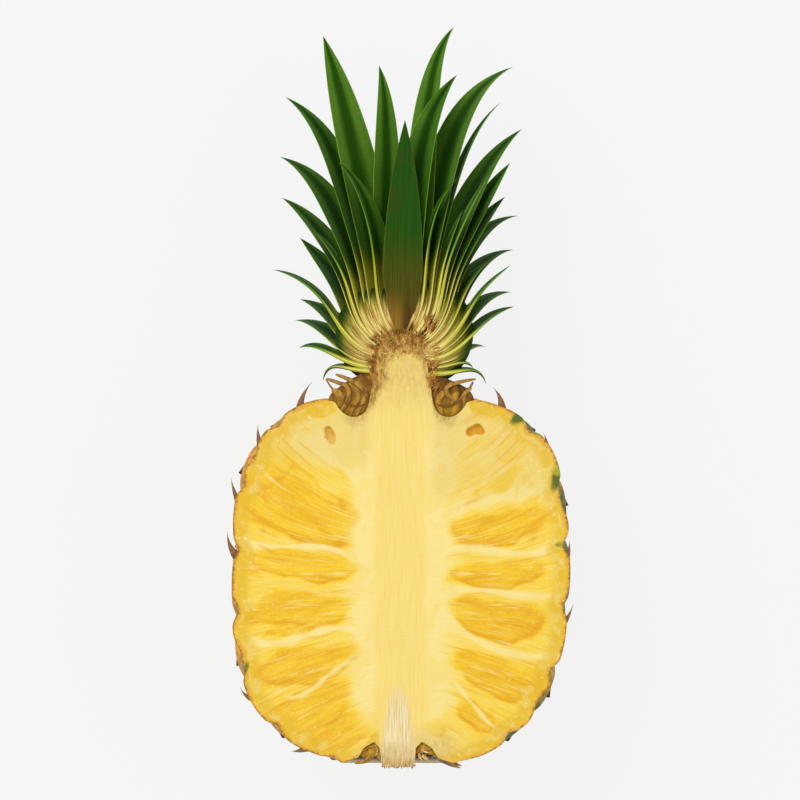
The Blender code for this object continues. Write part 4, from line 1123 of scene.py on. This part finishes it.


# Folded bracts: in the moat the knife has cut through papery bracts that lie folded
# against each other, brown with a painted pinkish highlight on their cut crests, and olive
# and gold where they are fleshy.
# Each line is a fold's section as (radius, height) in millimetres, then its thickness and
# how fleshy it is.
LEFT_FOLDS = (
    (((28.6, 75.8), (24.0, 74.0), (21.0, 73.4), (19.7, 71.0), (19.9, 67.8), (22.0, 64.6),
      (23.6, 62.8)), 1.7, 0.15),
    (((25.0, 77.4), (19.9, 75.4), (15.5, 73.2), (12.9, 70.6), (14.0, 67.3), (16.2, 64.0),
      (16.9, 61.6)), 1.9, 0.10),
    (((20.0, 74.0), (17.7, 72.6), (16.1, 69.5), (16.9, 66.4), (18.9, 63.6), (19.5, 61.2)),
     1.6, 0.35),
    (((26.4, 71.4), (24.0, 70.6), (22.6, 68.2), (24.0, 65.0)), 2.6, 0.75),
    (((8.6, -69.6), (9.2, -65.4), (11.6, -63.6), (14.6, -66.0)), 0.9, 0.2),
    (((17.6, -70.4), (13.4, -69.8), (11.6, -67.0)), 1.3, 0.5),
)
RIGHT_FOLDS = (
    (((28.4, 75.6), (23.0, 74.6), (17.6, 73.2), (16.9, 70.6), (19.2, 67.8), (22.4, 65.2)),
     1.6, 0.10),
    (((26.8, 72.2), (23.2, 69.4), (24.6, 66.4), (23.4, 62.8)), 1.7, 0.40),
    (((18.0, 71.0), (14.8, 69.6), (14.0, 66.0), (15.8, 62.0)), 2.4, 0.60),
    (((21.6, 70.6), (20.2, 68.6), (20.6, 65.0), (19.6, 61.6)), 2.9, 0.95),
    (((8.6, -68.6), (10.4, -64.6), (13.6, -64.6), (18.6, -69.2), (23.0, -71.4)), 0.9, 0.0),
    (((12.0, -67.6), (15.0, -67.4), (18.6, -70.4), (22.6, -72.2)), 0.8, 0.0),
)
# Sections of the torn tissue that fills the moat and the notch at the base behind the folds
LEFT_CUSHION = (
    (8.5, 66.4), (13.0, 60.5), (19.0, 59.4), (24.6, 62.4), (28.0, 67.0), (26.6, 70.4),
    (24.0, 72.2), (20.0, 75.2), (15.0, 77.6), (11.0, 80.0), (7.0, 77.0), (7.0, 70.0),
)
RIGHT_CUSHION = (
    (8.5, 66.4), (13.0, 60.5), (19.0, 59.4), (24.6, 62.4), (28.0, 67.0), (27.0, 70.4),
    (23.5, 73.2), (19.0, 75.0), (15.0, 77.0), (11.0, 80.0), (7.0, 77.0), (7.0, 70.0),
)
LEFT_BASE_CUSHION = (
    (4.0, -66.0), (8.6, -59.5), (13.6, -62.6), (16.6, -65.4), (15.6, -68.0), (12.0, -68.6),
    (9.0, -67.4), (4.0, -68.0),
)
RIGHT_BASE_CUSHION = (
    (4.0, -66.0), (8.6, -59.5), (13.6, -62.6), (16.6, -65.4), (16.0, -68.0), (12.4, -67.6),
    (9.4, -66.2), (4.0, -67.0),
)
FOLD_SWEEP = 34.0
FOLD_ROWS = 12
FOLD_DEPTH = 0.0002
FLESHY_DEPTH = 0.0003
CUSHION_DEPTH = 0.0009
CUSHION_FLESHY_BELOW = 0.0725


def fold_section(points, thickness):
    """A band round a line: the line moved to both sides by half its thickness, which
    swells in the middle and shrinks to its ends."""
    line = rounded_line(points)
    step = np.gradient(line, axis=0)
    step /= np.linalg.norm(step, axis=1, keepdims=True)
    share = np.linspace(0, 1, len(line))
    half = thickness / 2 * (0.12 + 0.88 * np.sin(math.pi * share) ** 0.6)
    aside = np.stack([-step[:, 1], step[:, 0]], -1) * half[:, None]
    return np.concatenate([line + aside, (line - aside)[::-1]])


def fold_finish():
    """Dark papery brown, with a painted highlight on the cut crests, and gold where the tissue
    is fleshy.
    """
    finish, tree = new_finish("folded_bract", Roughness=0.6, Specular_IOR_Level=0.2)
    fleck = grain(tree, object_place(tree, (1.0, 0.45, 1.0)), 650.0, 4.0, 0.6, 0.6)
    papery = toned(tree, fleck, 0.3, 0.7, (0.065, 0.023, 0.004, 1), (0.24, 0.105, 0.016, 1))
    # Painted highlight: the lighter pinkish brown laid on each fold's section at the cut.
    crest_highlight = toned(tree, fleck, 0.3, 0.7, (0.20, 0.080, 0.011, 1), (0.46, 0.24, 0.050, 1))
    fleshy = toned(tree, fleck, 0.1, 0.9, (0.30, 0.13, 0.006, 1), (0.66, 0.38, 0.025, 1))
    brown = mixed(tree, attribute(tree, "cut"), papery, crest_highlight)
    brown = mixed(tree, attribute(tree, "fleshy"), brown, fleshy)
    return finished(finish, brown, fleck, 0.0002, 0.5)


sweep = FOLD_SWEEP * np.linspace(0, 1, FOLD_ROWS)[:, None] ** 1.6
taper = np.sqrt(1 - 0.95 * (sweep / FOLD_SWEEP) ** 4)
fold_points, fold_faces, fold_crest_highlight, fold_fleshy, corner = [], [], [], [], 0
for side_start, side_turn, cushions, folds in (
        (0.0, 1, (LEFT_CUSHION, LEFT_BASE_CUSHION), LEFT_FOLDS),
        (180.0, -1, (RIGHT_CUSHION, RIGHT_BASE_CUSHION), RIGHT_FOLDS)):
    sections = [(rounded_line(closed + closed[:1], 2)[:-1], CUSHION_DEPTH, None)
                for closed in cushions]
    sections += [(fold_section(points, thickness), FOLD_DEPTH + FLESHY_DEPTH * fleshy, fleshy)
                 for points, thickness, fleshy in folds]
    for section, depth, fleshy in sections:
        section = section[::side_turn] / 1000
        middle = section.mean(0)
        radius, height = np.moveaxis(middle + taper[..., None] * (section - middle), -1, 0)
        swept = place_on_axis(radius, side_start + side_turn * sweep, height)
        swept[..., 2] -= depth
        ribbon = fleshy is not None
        if not ribbon:
            fleshy = smooth_step((CUSHION_FLESHY_BELOW - height) / 0.013)
        fold_points.append(swept.reshape(-1, 3))
        fold_faces += [part + corner for part in ring_faces(1, *height.shape)]
        # Each fold's section at the cut carries the crest's painted highlight.
        fold_crest_highlight.append((((sweep < 1.0) & ribbon) + 0 * height).ravel())
        fold_fleshy.append((fleshy + 0 * height).ravel())
        corner += height.size
make_piece(
    "folded_bracts", np.concatenate(fold_points), fold_faces, fold_finish(),
    {"cut": np.concatenate(fold_crest_highlight), "fleshy": np.concatenate(fold_fleshy)})


# Frayed tissue: where the crown's feet and the stem were torn by the knife, short brown and
# tan fibres and flakes stand up round the top of the stem, and hang from the stalk's end.
# Each patch is its middle (right, up), half sizes, direction and spread in degrees, length,
# width, number and how pale it is; lengths are in millimetres.
FRAYED_PATCHES = (
    ((1.0, 88.6), (8.6, 3.2), 90, 60, 3.4, 0.45, 420, 0.36),
    ((0.5, 91.4), (7.0, 1.0), 90, 44, 2.8, 0.40, 120, 0.34),
    ((0.5, 85.6), (9.0, 1.8), 80, 110, 2.6, 0.60, 160, 0.52),
    ((1.5, 83.0), (8.6, 2.2), 88, 30, 2.4, 0.45, 90, 0.72),
    ((11.0, 84.0), (2.6, 4.0), 50, 50, 2.6, 0.50, 150, 0.62),
    ((-10.4, 83.0), (2.2, 4.0), 130, 50, 2.6, 0.50, 130, 0.42),
    ((-9.6, 76.0), (1.6, 5.0), 140, 26, 2.4, 0.50, 120, 0.30),
    ((11.4, 76.0), (1.6, 5.0), 45, 26, 2.6, 0.50, 120, 0.46),
    ((-1.0, -71.0), (6.2, 0.7), -90, 10, 1.0, 0.45, 110, 0.45),
    ((-8.0, -66.0), (1.4, 2.4), -110, 40, 1.8, 0.6, 26, 0.75),
    ((8.0, -66.0), (1.6, 2.4), -60, 40, 1.8, 0.6, 26, 0.65),
    ((-8.8, 89.8), (1.0, 1.0), 125, 26, 2.4, 0.60, 60, 0.36),
    ((10.2, 95.0), (2.0, 2.6), 66, 24, 3.4, 0.60, 100, 0.32),
)
FRAY_DEPTH = 0.0004
FRAY_THICKNESS = 0.0006


def frayed_finish():
    """From dark brown to cream, by the tone that each fibre has."""
    finish, tree = new_finish("frayed_tissue", Roughness=0.65, Specular_IOR_Level=0.2)
    fleck = grain(tree, object_place(tree), 900.0, 3.0)
    brown = ramped(tree, swung(tree, attribute(tree, "tone"), fleck, 0.4), (
        (0.0, (0.17, 0.07, 0.012, 1)), (0.35, (0.38, 0.165, 0.022, 1)),
        (0.65, (0.60, 0.34, 0.065, 1)), (1.0, (0.86, 0.72, 0.34, 1))))
    return finished(finish, brown, fleck, 0.0003, 0.6)


random = np.random.default_rng(7)
frayed_feet, frayed_alongs, frayed_sizes, frayed_tones = [], [], [], []
for middle, halves, direction, spread, length, width, number, paleness in FRAYED_PATCHES:
    place = np.array(middle) + np.array(halves) * random.uniform(-1, 1, (number, 2))
    heading = np.radians(direction + spread * random.normal(0, 0.6, number))
    rise = random.uniform(-0.10, 0.22, number)
    frayed_feet.append(np.column_stack([place / 1000, np.full(number, CUT_HEIGHT - FRAY_DEPTH)]))
    frayed_alongs.append(np.column_stack([np.cos(heading), np.sin(heading), rise]))
    frayed_sizes.append(np.column_stack([length * random.uniform(0.6, 1.3, number),
                                         width * random.uniform(0.5, 1.3, number)]) / 1000)
    clump = 0.20 * np.sin(0.9 * place[:, 0] + 1.1 * np.sin(0.8 * place[:, 1]))
    frayed_tones.append(np.clip(paleness + clump + random.normal(0, 0.13, number), 0, 1))
feet, alongs, sizes, tones = (np.concatenate(part) for part in (
    frayed_feet, frayed_alongs, frayed_sizes, frayed_tones))
alongs /= np.linalg.norm(alongs, axis=1, keepdims=True)
thicks = np.cross(alongs, np.cross((0.0, 0.0, 1.0), alongs))
thicks /= np.linalg.norm(thicks, axis=1, keepdims=True)
long, wide = sizes[:, 0, None, None], sizes[:, 1, None, None]
frayed_points = spike_rings(feet, alongs, thicks, long, wide, FRAY_THICKNESS, 0.15, 7, 6)
make_piece(
    "frayed_tissue", frayed_points, ring_faces(*frayed_points.shape[:3]), frayed_finish(),
    {"tone": tones[:, None, None] + np.zeros(frayed_points.shape[:3])})
